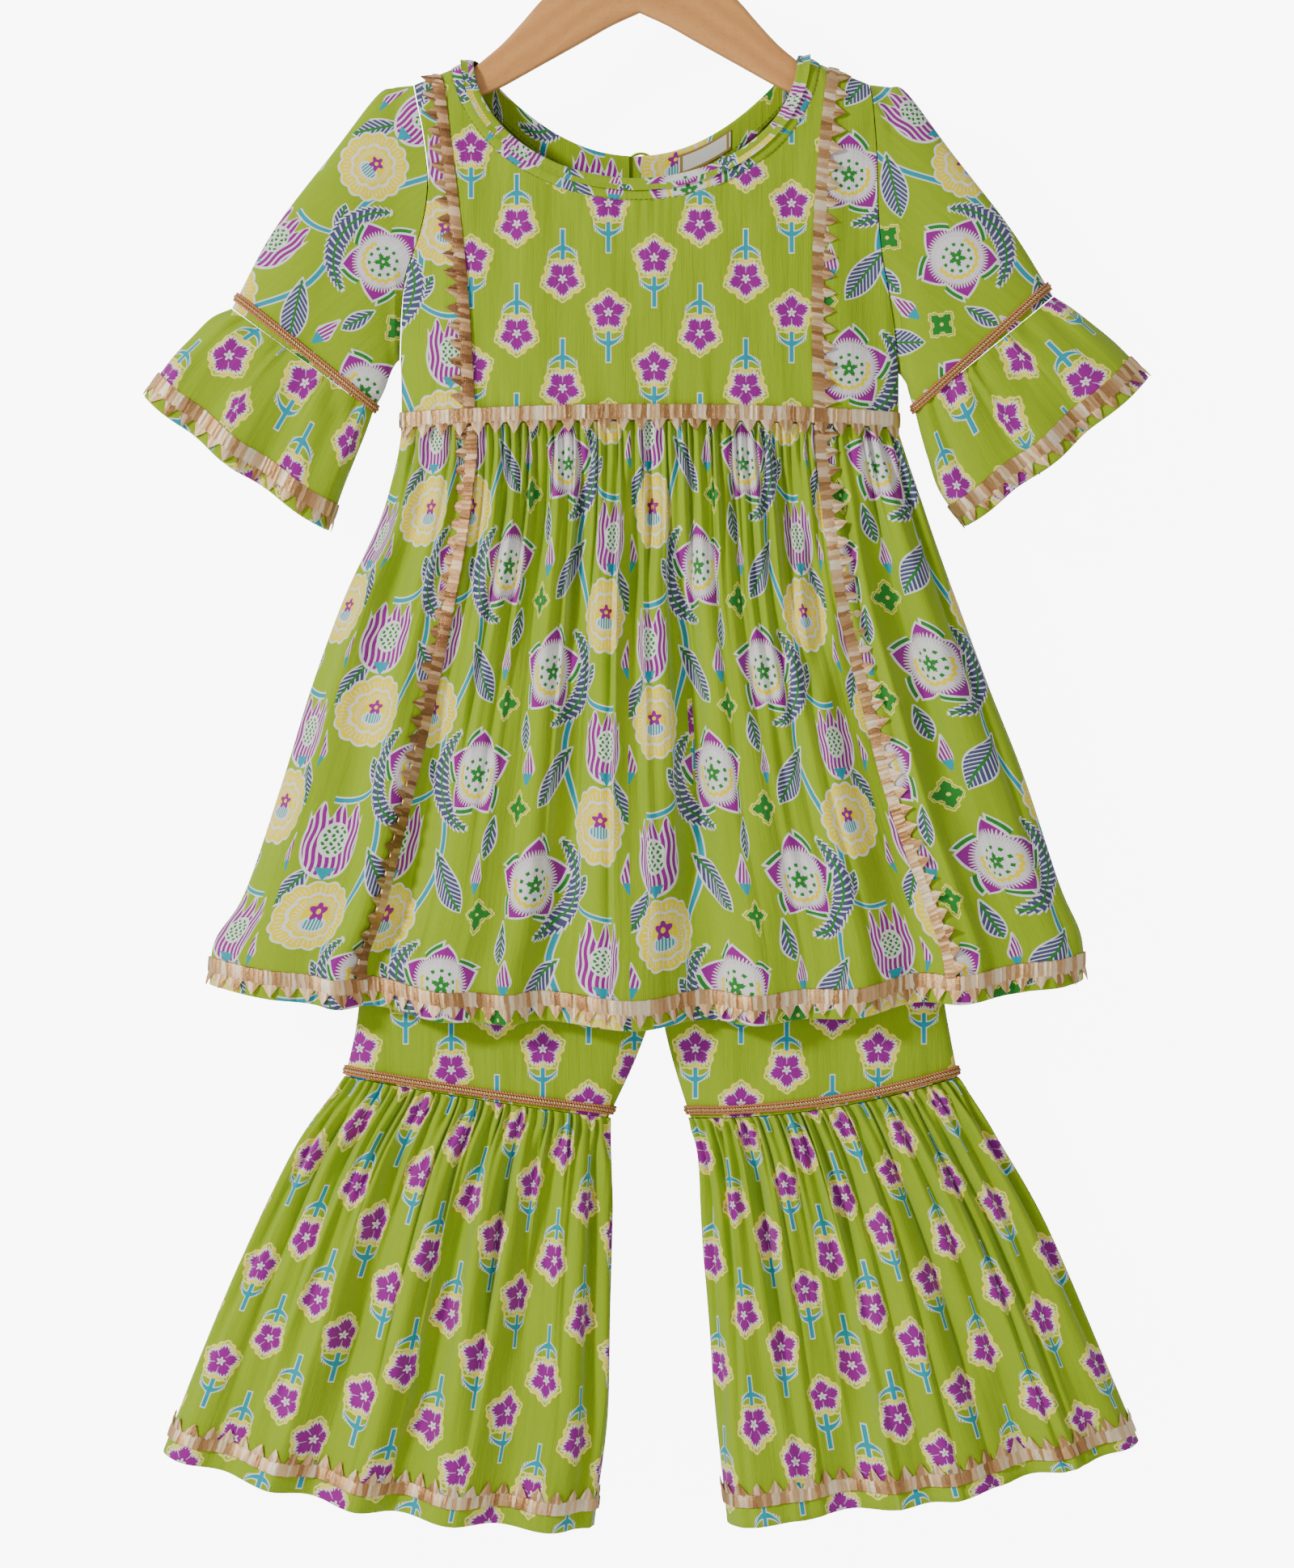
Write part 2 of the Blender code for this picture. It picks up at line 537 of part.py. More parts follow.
def bodice_back():
    """The back panel, with a keyhole that opens below the neck."""
    half = BACK_COLUMNS // 2
    stations = []
    for step in range(BACK_COLUMNS + 1):
        share = step / BACK_COLUMNS
        tip = LEFT_ARMHOLE[0].x if step <= half else RIGHT_ARMHOLE[0].x
        place = (share - 0.18) / 0.64
        if 0.0 <= place <= 1.0:
            stations.append(back_neck_point(place))
        else:
            neck_x = NECK_CENTRE + (-NECK_HALF_WIDTH if step <= half else NECK_HALF_WIDTH)
            outward = (0.18 - share) / 0.18 if step <= half else (share - 0.82) / 0.18
            x = mix(neck_x, tip, outward)
            stations.append((x, shoulder_drop(x)))
    low_left = side_edge(-1)(WAIST_DROP)
    low_right = side_edge(1)(WAIST_DROP)
    middle, normals = [], []
    index = {}
    for row, share in enumerate(BACK_ROWS):
        for step, (top_x, top_drop) in enumerate(stations):
            across = step / BACK_COLUMNS
            low_x = mix(low_left, low_right, across)
            drop = mix(top_drop, waist_drop(low_x), share)
            x = mix(top_x, low_x, share)
            left_drop = mix(LEFT_ARMHOLE[0].drop, WAIST_DROP, share)
            right_drop = mix(RIGHT_ARMHOLE[0].drop, WAIST_DROP, share)
            left_x, right_x = low_left, low_right
            if left_drop < LEFT_ARMHOLE[-1].drop:
                left_x = column(LEFT_ARMHOLE, "x", left_drop)
            if right_drop < RIGHT_ARMHOLE[-1].drop:
                right_x = column(RIGHT_ARMHOLE, "x", right_drop)
            left_bulge = left_x - mix(stations[0][0], low_left, share)
            right_bulge = right_x - mix(stations[-1][0], low_right, share)
            x += left_bulge * max(0.0, 1.0 - 4 * across) + right_bulge * max(0.0, 4 * across - 3.0)
            drop = max(drop, shoulder_drop(x))
            opening = column(KEYHOLE, "half_width", share) if share < KEYHOLE[-1].share else 0.0
            spots = ((-1, x - opening), (1, x + opening)) if step == half and opening > 0 else ((0, x),)
            for mark, spot_x in spots:
                index[(row, step, mark)] = len(middle)
                middle.append(body_point(spot_x, drop, BACK))
                normals.append(body_normal(spot_x, drop, BACK))
    faces = []
    for row in range(len(BACK_ROWS) - 1):
        for step in range(BACK_COLUMNS):
            marks = (1 if step == half else 0, -1 if step + 1 == half else 0)
            corners = [(row, step, marks[0]), (row + 1, step, marks[0]),
                       (row + 1, step + 1, marks[1]), (row, step + 1, marks[1])]
            faces.append([index.get(corner, index.get((corner[0], corner[1], 0))) for corner in corners])
    return wall("bodice_back", middle, normals, faces, CLOTH, "printed_cotton")


def back_facing(name, first, last):
    """Half of the facing that lies inside the back neckline."""
    grid = []
    for extra in (0.4, FACING_WIDTH / 2, FACING_WIDTH):
        row = []
        for step in range(9):
            row.append(back_neck_point(mix(first, last, step / 8), extra))
        grid.append(row)
    return body_sheet(name, grid, BACK, TRIM, "printed_cotton", -over(CLOTH) - FACING_EASE)


def neck_label():
    """The bare woven label sewn slantwise on the facing, right of the middle."""
    grid = []
    for down in (3.0, 13.5):
        row = []
        for step in range(4):
            row.append(back_neck_point(mix(0.60, 0.69, step / 3), down))
        grid.append(row)
    depth = over(CLOTH) + FACING_EASE + TRIM + SEAM
    return body_sheet("neck_label", grid, BACK, TRIM, "tape", -depth)


def back_button():
    """The round button that closes the keyhole, and the loop of rouleau over it."""
    seat = body_point(NECK_CENTRE + 7.0, BACK_NECK_DEPTH + 4.0, BACK)
    radius, height, sides = 4.5, 2.6, 16
    profile = [(0.72, 0.0), (1.0, 0.3), (1.0, 0.7), (0.72, 1.0)]
    points = []
    base = seat.y + CLOTH / 2 + SEAM
    for reach, rise in profile:
        for step in range(sides):
            turn = 2 * math.pi * step / sides
            points.append(Vector((seat.x + radius * reach * math.cos(turn), base + height * rise,
                                  seat.z + radius * reach * math.sin(turn))) * MM)
    faces = grid_faces(len(profile), sides, closed=True)
    faces.append(tuple(range(sides)))
    faces.append(tuple(range((len(profile) - 1) * sides, len(profile) * sides)))
    return solid("back_button", points, faces, "button_shell")


def bodice_lace(name, lace, x_near_top):
    """A lace line down the front, from the shoulder to the waist lace."""
    grid = []
    top = shoulder_drop(x_near_top)
    bottom = waist_drop(lace[-1].x)
    last = 1.0 - (LACE_WIDTH + 2 * SEAM) / (bottom - top)
    for share in BODICE_ROWS[1:-1] + [last]:
        centre = column(lace, "x", mix(top, bottom, share))
        row = []
        for across in (-0.5, 0.0, 0.5):
            x = centre + across * LACE_WIDTH
            row.append((x, mix(shoulder_drop(x), waist_drop(x), share)))
        grid.append(row)
    return body_sheet(name, grid, FRONT, TRIM, "gold_ribbon", over(CLOTH) + 0.25)


WAIST_LACE_STEPS = 24


def waist_lace():
    """The lace across the front waist, on the bodice just above the gathers."""
    left = side_edge(-1)(WAIST_DROP) + 0.2
    right = side_edge(1)(WAIST_DROP) - 0.2
    grid = []
    for up in (LACE_WIDTH, 0.4):
        row = []
        for step in range(WAIST_LACE_STEPS + 1):
            across = (1 - math.cos(math.pi * step / WAIST_LACE_STEPS)) / 2
            x = mix(left, right, across)
            row.append((x, waist_drop(x) - up))
        grid.append(row)
    return body_sheet("waist_lace", grid, FRONT, TRIM, "gold_ribbon", over(CLOTH))


# Loops of cloth: skirt, sleeves, ruffles and flares

def half_loop(section, side, shares):
    """Points and outward normals of a flattened loop's front or back, at shares of its length."""
    start = Vector((section.left, 0.0, level(section.left_drop)))
    end = Vector((section.right, 0.0, level(section.right_drop)))
    centre = (start + end) / 2
    reach = (end - start).length / 2
    along = (end - start).normalized()
    down = Vector((along.z, 0.0, -along.x))
    out = Vector((0.0, float(side), 0.0))
    steps = 240
    trace = []
    for step in range(steps + 1):
        angle = math.pi * step / steps
        cosine, sine = math.cos(angle), math.sin(angle)
        place = -math.copysign(abs(cosine) ** (2 / ROUNDNESS), cosine)
        trace.append((place, sine ** (2 / ROUNDNESS) if sine > 0 else 0.0))
    lengths = [0.0]
    for (first, high), (second, low) in zip(trace, trace[1:]):
        lengths.append(lengths[-1] + math.hypot((second - first) * reach, (low - high) * section.depth))
    result = []
    cell = 0
    for share in shares:
        target = share * lengths[-1]
        while cell < steps - 1 and lengths[cell + 1] < target:
            cell += 1
        while cell > 0 and lengths[cell] > target:
            cell -= 1
        width = lengths[cell + 1] - lengths[cell]
        part = min(max((target - lengths[cell]) / width, 0.0), 1.0)
        place = mix(trace[cell][0], trace[cell + 1][0], part)
        bulge = mix(trace[cell][1], trace[cell + 1][1], part)
        step_along = (trace[cell + 1][0] - trace[cell][0]) * reach
        step_out = (trace[cell + 1][1] - trace[cell][1]) * section.depth
        normal = along * -step_out + out * step_along
        if share < 0.001:
            normal = -along
        if share > 0.999:
            normal = along
        point = centre + along * place * reach + out * (SEAM / 2 + bulge * section.depth)
        point += down * section.bow * (1.0 - place * place)
        result.append((point, normal.normalized(), down))
    return result


def share_at(section, across):
    """The share of a half loop's length at a share of its straight width."""
    place = 2 * across - 1
    start = Vector((section.left, 0.0, level(section.left_drop)))
    end = Vector((section.right, 0.0, level(section.right_drop)))
    reach = (end - start).length / 2
    low, high = 0.0, 1.0
    along = (end - start).normalized()
    for _ in range(18):
        middle = (low + high) / 2
        point = half_loop(section, FRONT, [middle])[0][0]
        if (point - (start + end) / 2).dot(along) / reach < place:
            low = middle
        else:
            high = middle
    return (low + high) / 2


def fold_height(folds, place):
    """The height of the large hem folds, eased from one ridge or valley to the next."""
    for before, after in zip(folds, folds[1:]):
        if place <= after.place:
            share = (place - before.place) / (after.place - before.place)
            return mix(before.height, after.height, (1 - math.cos(math.pi * share)) / 2)
    return folds[-1].height


def gather_share(gather, count):
    """Where a gather falls along its seam: unevenly spaced, with both ends fixed."""
    wobble = 0.25 * math.sin(2.4 * gather) * math.sin(math.pi * gather / count)
    return (gather + wobble) / count


def ripple(tier, below, gather, count):
    """The height of the gathers at a distance below their seam."""
    edge = max(0.0, min(1.0, gather, count - gather))
    share = below / tier.settle
    fine = tier.fine * column(FADES, "fine", share) * math.cos(2 * math.pi * gather)
    turn = 2 * math.pi * gather / GATHERS_PER_MIDDLE_FOLD
    middle = tier.middle * column(FADES, "middle", share) * math.cos(turn + 1.3)
    return edge * (fine + middle)


def hem_growth(share):
    """How much of the large folds shows, from none at the seam to all at the hem."""
    share = min(max((share - 0.05) / 0.95, 0.0), 1.0)
    return share * share * (3 - 2 * share)


def section_middle(section):
    """The point halfway between a section's two ends."""
    drop = (section.left_drop + section.right_drop) / 2
    return Vector(((section.left + section.right) / 2, 0.0, level(drop)))


def tier_row(tier, folds, side, place, count, steps, bounds=(0.0, 1.0), stride=1, flat=False):
    """One row of points and normals of a gathered panel between two shares of its loop."""
    section = row_between(tier.sections, place)
    top = tier.sections[0]
    bottom = tier.sections[-1]
    below = (section_middle(section) - section_middle(top)).length
    grown = hem_growth(below / (section_middle(bottom) - section_middle(top)).length)
    gathers = [step / 2 for step in range(0, steps + 1, stride)]
    shares = [mix(bounds[0], bounds[1], gather_share(gather, count)) for gather in gathers]
    row = []
    for (point, normal, down), gather, share in zip(half_loop(section, side, shares), gathers, shares):
        large = fold_height(folds, share) * grown
        small = 0.0 if flat else ripple(tier, below, gather, count)
        row.append((point + normal * (large + small) + down * HEM_SAG * large, normal))
    return row


def wall_row(tier, folds, side, place, count, bounds=None, stride=1, flat=False):
    """A row read off a panel's own wall, straight between the two rows that it is built on."""
    rows = tier.rows
    low = max(index for index in range(len(rows) - 1) if rows[index] <= place)
    share = (place - rows[low]) / (rows[low + 1] - rows[low])
    ends = []
    for here in (rows[low], rows[low + 1]):
        between = bounds(here) if bounds else (0.0, 1.0)
        ends.append(tier_row(tier, folds, side, here, count, 2 * count, between, stride, flat))
    return [(point.lerp(other, share), normal.lerp(turned, share).normalized())
            for (point, normal), (other, turned) in zip(*ends)]


def gathered_panel(name, tier, folds, side, count, bounds=None):
    """A gathered panel between two lines, or between the side seams."""
    middle, normals = [], []
    steps = 2 * count
    for place in tier.rows:
        ends = bounds(place) if bounds else (0.0, 1.0)
        for point, normal in tier_row(tier, folds, side, place, count, steps, ends):
            middle.append(point)
            normals.append(normal)
    faces = grid_faces(len(tier.rows), steps + 1)
    return wall(name, middle, normals, faces, GATHERED_CLOTH, "printed_cotton")


def skirt_share(place, name):
    """The share of the front loop at which a lace line crosses, at a place down the skirt."""
    return share_at(row_between(SKIRT, place), getattr(row_between(SKIRT_LACES, place), name))


def skirt():
    """The kurta's skirt: three front panels parted by the lace lines, and a back."""
    half_gap = SEAM / 2 / 300.0
    panels = [
        ("skirt_front_side_left", "left", lambda place: (0.0, skirt_share(place, "left") - half_gap)),
        ("skirt_front_centre", "centre", lambda place: (skirt_share(place, "left") + half_gap,
                                                        skirt_share(place, "right") - half_gap)),
        ("skirt_front_side_right", "right", lambda place: (skirt_share(place, "right") + half_gap, 1.0)),
    ]
    for name, key, bounds in panels:
        gathered_panel(name, SKIRT_TIER, SKIRT_FRONT_FOLDS, FRONT, SKIRT_GATHERS[key], bounds)
    gathered_panel("skirt_back", SKIRT_TIER, SKIRT_BACK_FOLDS, BACK, SKIRT_GATHERS["back"])


def skirt_lace(name, key):
    """A lace line down the skirt, from the waist lace to the hem lace."""
    middle, normals = [], []
    hem_lace_top = strip_places(SKIRT_TIER, HEM_LACE_GAP, LACE_WIDTH)[0] - 0.02
    places = SKIRT_TIER.rows[1:-1] + [hem_lace_top]

    def bounds(place):
        section = row_between(SKIRT, place)
        half = LACE_WIDTH / 2 / (section.right - section.left + section.depth)
        centre = skirt_share(place, key)
        return centre - half, centre + half

    for place in places:
        for point, normal in wall_row(SKIRT_TIER, SKIRT_FRONT_FOLDS, FRONT, place, 1, bounds, flat=True):
            middle.append(point + normal * (over(GATHERED_CLOTH) + SKIRT_TIER.fine + 0.3))
            normals.append(normal)
    return wall(name, middle, normals, grid_faces(len(places), 3), TRIM, "gold_ribbon")


# How far hem lace stands clear of its cloth, by how many of the cloth's columns it spans at a time
LACE_EASE = {1: 0.6, 2: 1.2}


def strip_places(tier, gap, width):
    """Places down a tier where a strip of a width begins and ends, a gap above the hem."""
    last = tier.sections[-1]
    before = tier.sections[-2]
    drop = ((last.left_drop + last.right_drop) - (before.left_drop + before.right_drop)) / 2
    shift = ((last.left + last.right) - (before.left + before.right)) / 2
    length = math.hypot(drop, shift)
    end = len(tier.sections) - 1
    return end - (gap + width) / length, end - gap / length


def hem_strip(name, tier, folds, side, gap, panels):
    """Lace round one side of a hem, made from its panels' own points, moved out."""
    middle, normals = [], []
    columns = 0
    for place in strip_places(tier, gap, LACE_WIDTH):
        columns = 0
        for count, bounds, stride in panels:
            lift = over(GATHERED_CLOTH) + LACE_EASE[stride]
            row = wall_row(tier, folds, side, place, count, bounds, stride)
            if columns:
                row = row[1:]
            for point, normal in row:
                middle.append(point + normal * lift)
                normals.append(normal)
            columns += len(row)
    return wall(name, middle, normals, grid_faces(2, columns), TRIM, "gold_ribbon")


# Sleeves

SLEEVE_STEPS = 8


def loop_ring(section, steps):
    """A whole flattened loop, front from left to right and back again."""
    places = [step / steps for step in range(steps + 1)]
    front = [point for point, _, _ in half_loop(section, FRONT, places)]
    back = [point for point, _, _ in half_loop(section, BACK, places)]
    for ring in (front, back):
        ring[0].y = 0.0
        ring[-1].y = 0.0
    return front + list(reversed(back[1:-1]))


def armhole_ring(armhole, direction, bottom):
    """The sleeve's own edge, just outside the bodice's armhole, from its top to its bottom."""
    front, back = [], []
    drops = [mix(armhole[0].drop, WAIST_DROP, share) for share in BODICE_ROWS[:SLEEVE_STEPS]] + [bottom.drop]
    for step, drop in enumerate(drops):
        x = column(armhole, "x", drop) + direction * (0.7 + 0.07 * step)
        for side, half in ((FRONT, front), (BACK, back)):
            point = body_point(x, max(drop, shoulder_drop(x)), side)
            if step in (0, SLEEVE_STEPS):
                point.y = 0.0
            if step == SLEEVE_STEPS:
                point.x = bottom.x
            half.append(point)
    return front, back


def tube(name, rings, thickness, finish, lift=0.0):
    """A wall round a stack of closed rings."""
    middle = [point for ring in rings for point in ring]
    count = len(rings[0])
    faces = grid_faces(len(rings), count, closed=True)
    sums = [Vector((0.0, 0.0, 0.0)) for _ in middle]
    for face in faces:
        first, second, third, fourth = (middle[index] for index in face)
        turn = (third - first).cross(fourth - second)
        for index in face:
            sums[index] += turn
    centre = sum(rings[0], Vector((0.0, 0.0, 0.0))) / count
    outward = sum((total.dot(point - centre) for total, point in zip(sums, rings[0])), 0.0)
    sign = 1.0 if outward > 0 else -1.0
    normals = [(total * sign).normalized() for total in sums]
    raised = [point + normal * lift for point, normal in zip(middle, normals)]
    return wall(name, raised, normals, faces, thickness, finish)


def sleeve(name, sections, armhole, direction, bottom):
    """A sleeve from its armhole seam to the piping over its ruffle."""
    front, back = armhole_ring(armhole, direction, bottom)
    if direction > 0:
        front.reverse()
        back.reverse()
    rings = [front + list(reversed(back[1:-1]))]
    rings += [loop_ring(section, SLEEVE_STEPS) for section in sections]
    tube(name, rings, CLOTH, "printed_cotton")


def cuff_piping(name, sections):
    """The braid round a sleeve's end."""
    length = 45.0
    last = len(sections) - 1
    rings = [loop_ring(row_between(sections, last - PIPING_WIDTH / length), SLEEVE_STEPS),
             loop_ring(row_between(sections, last - 0.2 / length), SLEEVE_STEPS)]
    tube(name, rings, TRIM, "gold_ribbon", over(CLOTH) + 0.2)


def ruffle_rings(tier, places):
    """Rings of a sleeve ruffle: its front and back gathers joined into one strip."""
    rings = []
    for place in places:
        front = wall_row(tier, RUFFLE_FOLDS, FRONT, place, RUFFLE_GATHERS["front"])
        back = wall_row(tier, RUFFLE_FOLDS, BACK, place, RUFFLE_GATHERS["back"])
        for row in (front, back):
            row[0][0].y = 0.0
            row[-1][0].y = 0.0
        rings.append(front + list(reversed(back[1:-1])))
    return rings


def ruffle(name, tier):
    rings = ruffle_rings(tier, tier.rows)
    middle = [point for ring in rings for point, _ in ring]
    normals = [normal for ring in rings for _, normal in ring]
    faces = grid_faces(len(rings), len(rings[0]), closed=True)
    wall(name, middle, normals, faces, GATHERED_CLOTH, "printed_cotton")


def ruffle_lace(name, tier):
    """The lace round a ruffle's hem."""
    rings = ruffle_rings(tier, strip_places(tier, RUFFLE_LACE_GAP, LACE_WIDTH))
    lift = over(GATHERED_CLOTH) + LACE_EASE[1]
    middle = [point + normal * lift for ring in rings for point, normal in ring]
    normals = [normal for ring in rings for _, normal in ring]
    faces = grid_faces(len(rings), len(rings[0]), closed=True)
    wall(name, middle, normals, faces, TRIM, "gold_ribbon")


# The gharara

THIGH_STEPS = 8


def thigh_row(section, side):
    """One row of a thigh's middle surface, from its outer to its inner edge."""
    direction = 1 if section.outer < section.inner else -1
    row = []
    for step in range(THIGH_STEPS + 1):
        across = (1 - math.cos(math.pi * step / THIGH_STEPS)) / 2
        bulge = mix(flattened(1 - across), flattened(2 * across - 1), section.closing)
        gap = 0.15 + 0.9 * section.closing * (section.inner_drop < KNEE_INNER_DROP)
        x = mix(section.outer, section.inner - direction * gap, across)
        drop = mix(section.outer_drop, section.inner_drop, across)
        drop += section.bow * 4 * across * (1 - across)
        row.append(Vector((x, side * (SEAM / 2 + section.depth * bulge), level(drop))))
    return row


def thigh(name, sections, side):
    """Half of a plain upper leg, front or back, from the waistband to the knee seam."""
    return sheet(name, [thigh_row(section, side) for section in sections], side, CLOTH, "printed_cotton")


def knee_piping(name, sections):
    """The braid round the knee seam, just above it."""
    knee, above = sections[-1], sections[-2]
    length = abs(knee.outer_drop - above.outer_drop)
    rings = []
    for up in (PIPING_WIDTH, 0.2):
        halves = []
        for side in (FRONT, BACK):
            pairs = zip(thigh_row(knee, side), thigh_row(above, side))
            halves.append([low.lerp(high, up / length) for low, high in pairs])
            halves[-1][0].y = halves[-1][-1].y = 0.0
        rings.append(halves[0] + list(reversed(halves[1][1:-1])))
    tube(name, rings, TRIM, "gold_ribbon", over(CLOTH) + 0.2)


def waistband():
    """The elastic waistband, hidden under the kurta."""
    top = Section(-96.0, WAISTBAND_DROP, 104.0, WAISTBAND_DROP, 12.0, 0.0)
    low = WAISTBAND_DROP + WAISTBAND_HEIGHT
    bottom = Section(-96.0, low, 104.0, low, 12.0, 0.0)
    tube("waistband", [loop_ring(top, 14), loop_ring(bottom, 14)], GATHERED_CLOTH, "printed_cotton")


def flare(side_name, tier, folds, count):
    """A leg's gathered flare, front and back, with the lace near its hem."""
    gathered_panel("flare_front_" + side_name, tier, folds, FRONT, count)
    gathered_panel("flare_back_" + side_name, tier, FLARE_BACK_FOLDS, BACK, FLARE_GATHERS["back"])
    hem_strip("leg_lace_front_" + side_name, tier, folds, FRONT, LEG_LACE_GAP, [(count, None, 2)])
    back = [(FLARE_GATHERS["back"], None, 1)]
    hem_strip("leg_lace_back_" + side_name, tier, FLARE_BACK_FOLDS, BACK, LEG_LACE_GAP, back)


# The hanger

def hanger_arms():
    """The wooden arms: their outline, extruded and rounded along its edges."""
    top = [(row.x, row.top) for row in HANGER]
    under = [(row.x, row.underside) for row in reversed(HANGER)]
    half = top + under
    outline = [half[-1]] + [(-x, z) for x, z in reversed(half[:-1]) if x > 0] + top + under[:-1]
    points = [Vector((x, -HANGER_THICKNESS / 2, z)) * MM for x, z in outline]
    edit = bmesh.new()
    face = edit.faces.new([edit.verts.new(point) for point in points])
    grown = bmesh.ops.extrude_face_region(edit, geom=[face])
    moved = [item for item in grown["geom"] if isinstance(item, bmesh.types.BMVert)]
    bmesh.ops.translate(edit, vec=Vector((0.0, HANGER_THICKNESS * MM, 0.0)), verts=moved)
    rims = [edge for edge in edit.edges
            if abs(edge.verts[0].co.y - edge.verts[1].co.y) < 1e-6]
    bmesh.ops.bevel(edit, geom=rims, offset=2.2 * MM, segments=1, affect="EDGES", clamp_overlap=True)
    bmesh.ops.recalc_face_normals(edit, faces=edit.faces)
    mesh = bpy.data.meshes.new("hanger_arms")
    edit.to_mesh(mesh)
    edit.free()
    mesh.shade_smooth()
    mesh.set_sharp_from_angle(angle=math.radians(50))
    mesh.materials.append(material("beech"))
    thing = bpy.data.objects.new("hanger_arms", mesh)
    bpy.context.scene.collection.objects.link(thing)


def hook_path():
    """The wire's centre line: up out of the wood, round over the rail and down to its tip."""
    centre_z = -HOOK_RADIUS + HOOK_WIRE / 2
    path = [Vector((0.0, 0.0, -72.6)), Vector((0.0, 0.0, -56.0)), Vector((1.2, 0.0, -48.0)),
            Vector((6.6, 0.0, -39.6)), Vector((13.6, 0.0, -32.0))]
    for step in range(14):
        angle = math.radians(-22 + 17.5 * step)
        path.append(Vector((HOOK_RADIUS * math.cos(angle), 0.0, centre_z + HOOK_RADIUS * math.sin(angle))))
    return path


def hanger_hook():
    """The steel hook, swept along its path with rounded ends."""
    path = hook_path()
    radius = HOOK_WIRE / 2
    sides = 8
    points = []
    stations = [(path[0], radius)] + [(point, radius) for point in path[1:-1]] + [(path[-1], radius)]
    tip = path[-1] + (path[-1] - path[-2]).normalized() * radius * 0.8
    stations.append((tip, radius * 0.5))
    for index, (centre, size) in enumerate(stations):
        before = stations[max(index - 1, 0)][0]
        after = stations[min(index + 1, len(stations) - 1)][0]
        along = (after - before).normalized()
        across = Vector((0.0, 1.0, 0.0))
        up = along.cross(across).normalized()
        for step in range(sides):
            turn = 2 * math.pi * step / sides
            points.append((centre + across * size * math.cos(turn) + up * size * math.sin(turn)) * MM)
    faces = grid_faces(len(stations), sides, closed=True)
    faces.append(tuple(range(sides)))
    faces.append(tuple(range((len(stations) - 1) * sides, len(stations) * sides)))
    return solid("hanger_hook", points, faces, "steel")


def hanger_loop(name, top_x, bottom_x, waist_depth):
    """A ribbon over the hanger's arm that carries the gharara's waistband."""
    reach = HANGER_THICKNESS / 2 + SEAM + TRIM / 2
    crown = -136.9 + TRIM / 2
    corner = 3.0
    side_path = [(bottom_x, waist_depth, level(WAISTBAND_DROP) + 0.35), (top_x, reach, -152.0),
                 (top_x, reach, crown - corner)]
    for step in (1, 2):
        angle = math.pi / 4 * step
        inward, up = corner * (1 - math.cos(angle)), corner * math.sin(angle)
        side_path.append((top_x, reach - inward, crown - corner + up))
    path = [Vector((x, -y, z)) for x, y, z in side_path]
    path += [Vector((x, y, z)) for x, y, z in reversed(side_path)]
    grid = []
    for point in path:
        grid.append([point + Vector((offset * LOOP_WIDTH, 0.0, 0.0)) for offset in (-0.5, 0.5)])
    middle = [point for row in grid for point in row]
    faces = grid_faces(len(grid), 2)
    normals = []
    for index in range(len(path)):
        before = path[max(index - 1, 0)]
        after = path[min(index + 1, len(path) - 1)]
        along = (after - before).normalized()
        normals += [Vector((1.0, 0.0, 0.0)).cross(along).normalized()] * 2
    return wall(name, middle, normals, faces, TRIM, "tape")


def kurta():
    """Bodice, sleeves and skirt."""
    front_side("bodice_front_side_left", LEFT_ARMHOLE, LEFT_LACE, side_edge(-1), LEFT_LACE_TOP, -1)
    front_side("bodice_front_side_right", RIGHT_ARMHOLE, RIGHT_LACE, side_edge(1), RIGHT_LACE_TOP, 1)
    front_centre()
    neck_band()
    bodice_back()
    back_facing("back_facing_left", 0.13, 0.485)
    back_facing("back_facing_right", 0.515, 0.87)
    neck_label()
    back_button()
    bodice_lace("bodice_lace_left", LEFT_LACE, LEFT_LACE_TOP)
    bodice_lace("bodice_lace_right", RIGHT_LACE, RIGHT_LACE_TOP)
    waist_lace()
    skirt()
    skirt_lace("skirt_lace_left", "left")
    skirt_lace("skirt_lace_right", "right")
    front_panels = [
        (SKIRT_GATHERS["left"], lambda place: (0.0, skirt_share(place, "left")), 1),
        (SKIRT_GATHERS["centre"], lambda place: (skirt_share(place, "left"), skirt_share(place, "right")), 2),
        (SKIRT_GATHERS["right"], lambda place: (skirt_share(place, "right"), 1.0), 1),
    ]
    back_panels = [(SKIRT_GATHERS["back"], None, 1)]
    hem_strip("hem_lace_front", SKIRT_TIER, SKIRT_FRONT_FOLDS, FRONT, HEM_LACE_GAP, front_panels)
    hem_strip("hem_lace_back", SKIRT_TIER, SKIRT_BACK_FOLDS, BACK, HEM_LACE_GAP, back_panels)
    sleeve("sleeve_left", LEFT_SLEEVE, LEFT_ARMHOLE, -1, Line(163.0, -129.6))
    sleeve("sleeve_right", RIGHT_SLEEVE, RIGHT_ARMHOLE, 1, Line(170.0, 139.6))
    cuff_piping("sleeve_piping_left", LEFT_SLEEVE)
    cuff_piping("sleeve_piping_right", RIGHT_SLEEVE)
    ruffle("sleeve_ruffle_left", LEFT_RUFFLE_TIER)
    ruffle("sleeve_ruffle_right", RIGHT_RUFFLE_TIER)
    ruffle_lace("sleeve_lace_left", LEFT_RUFFLE_TIER)
    ruffle_lace("sleeve_lace_right", RIGHT_RUFFLE_TIER)


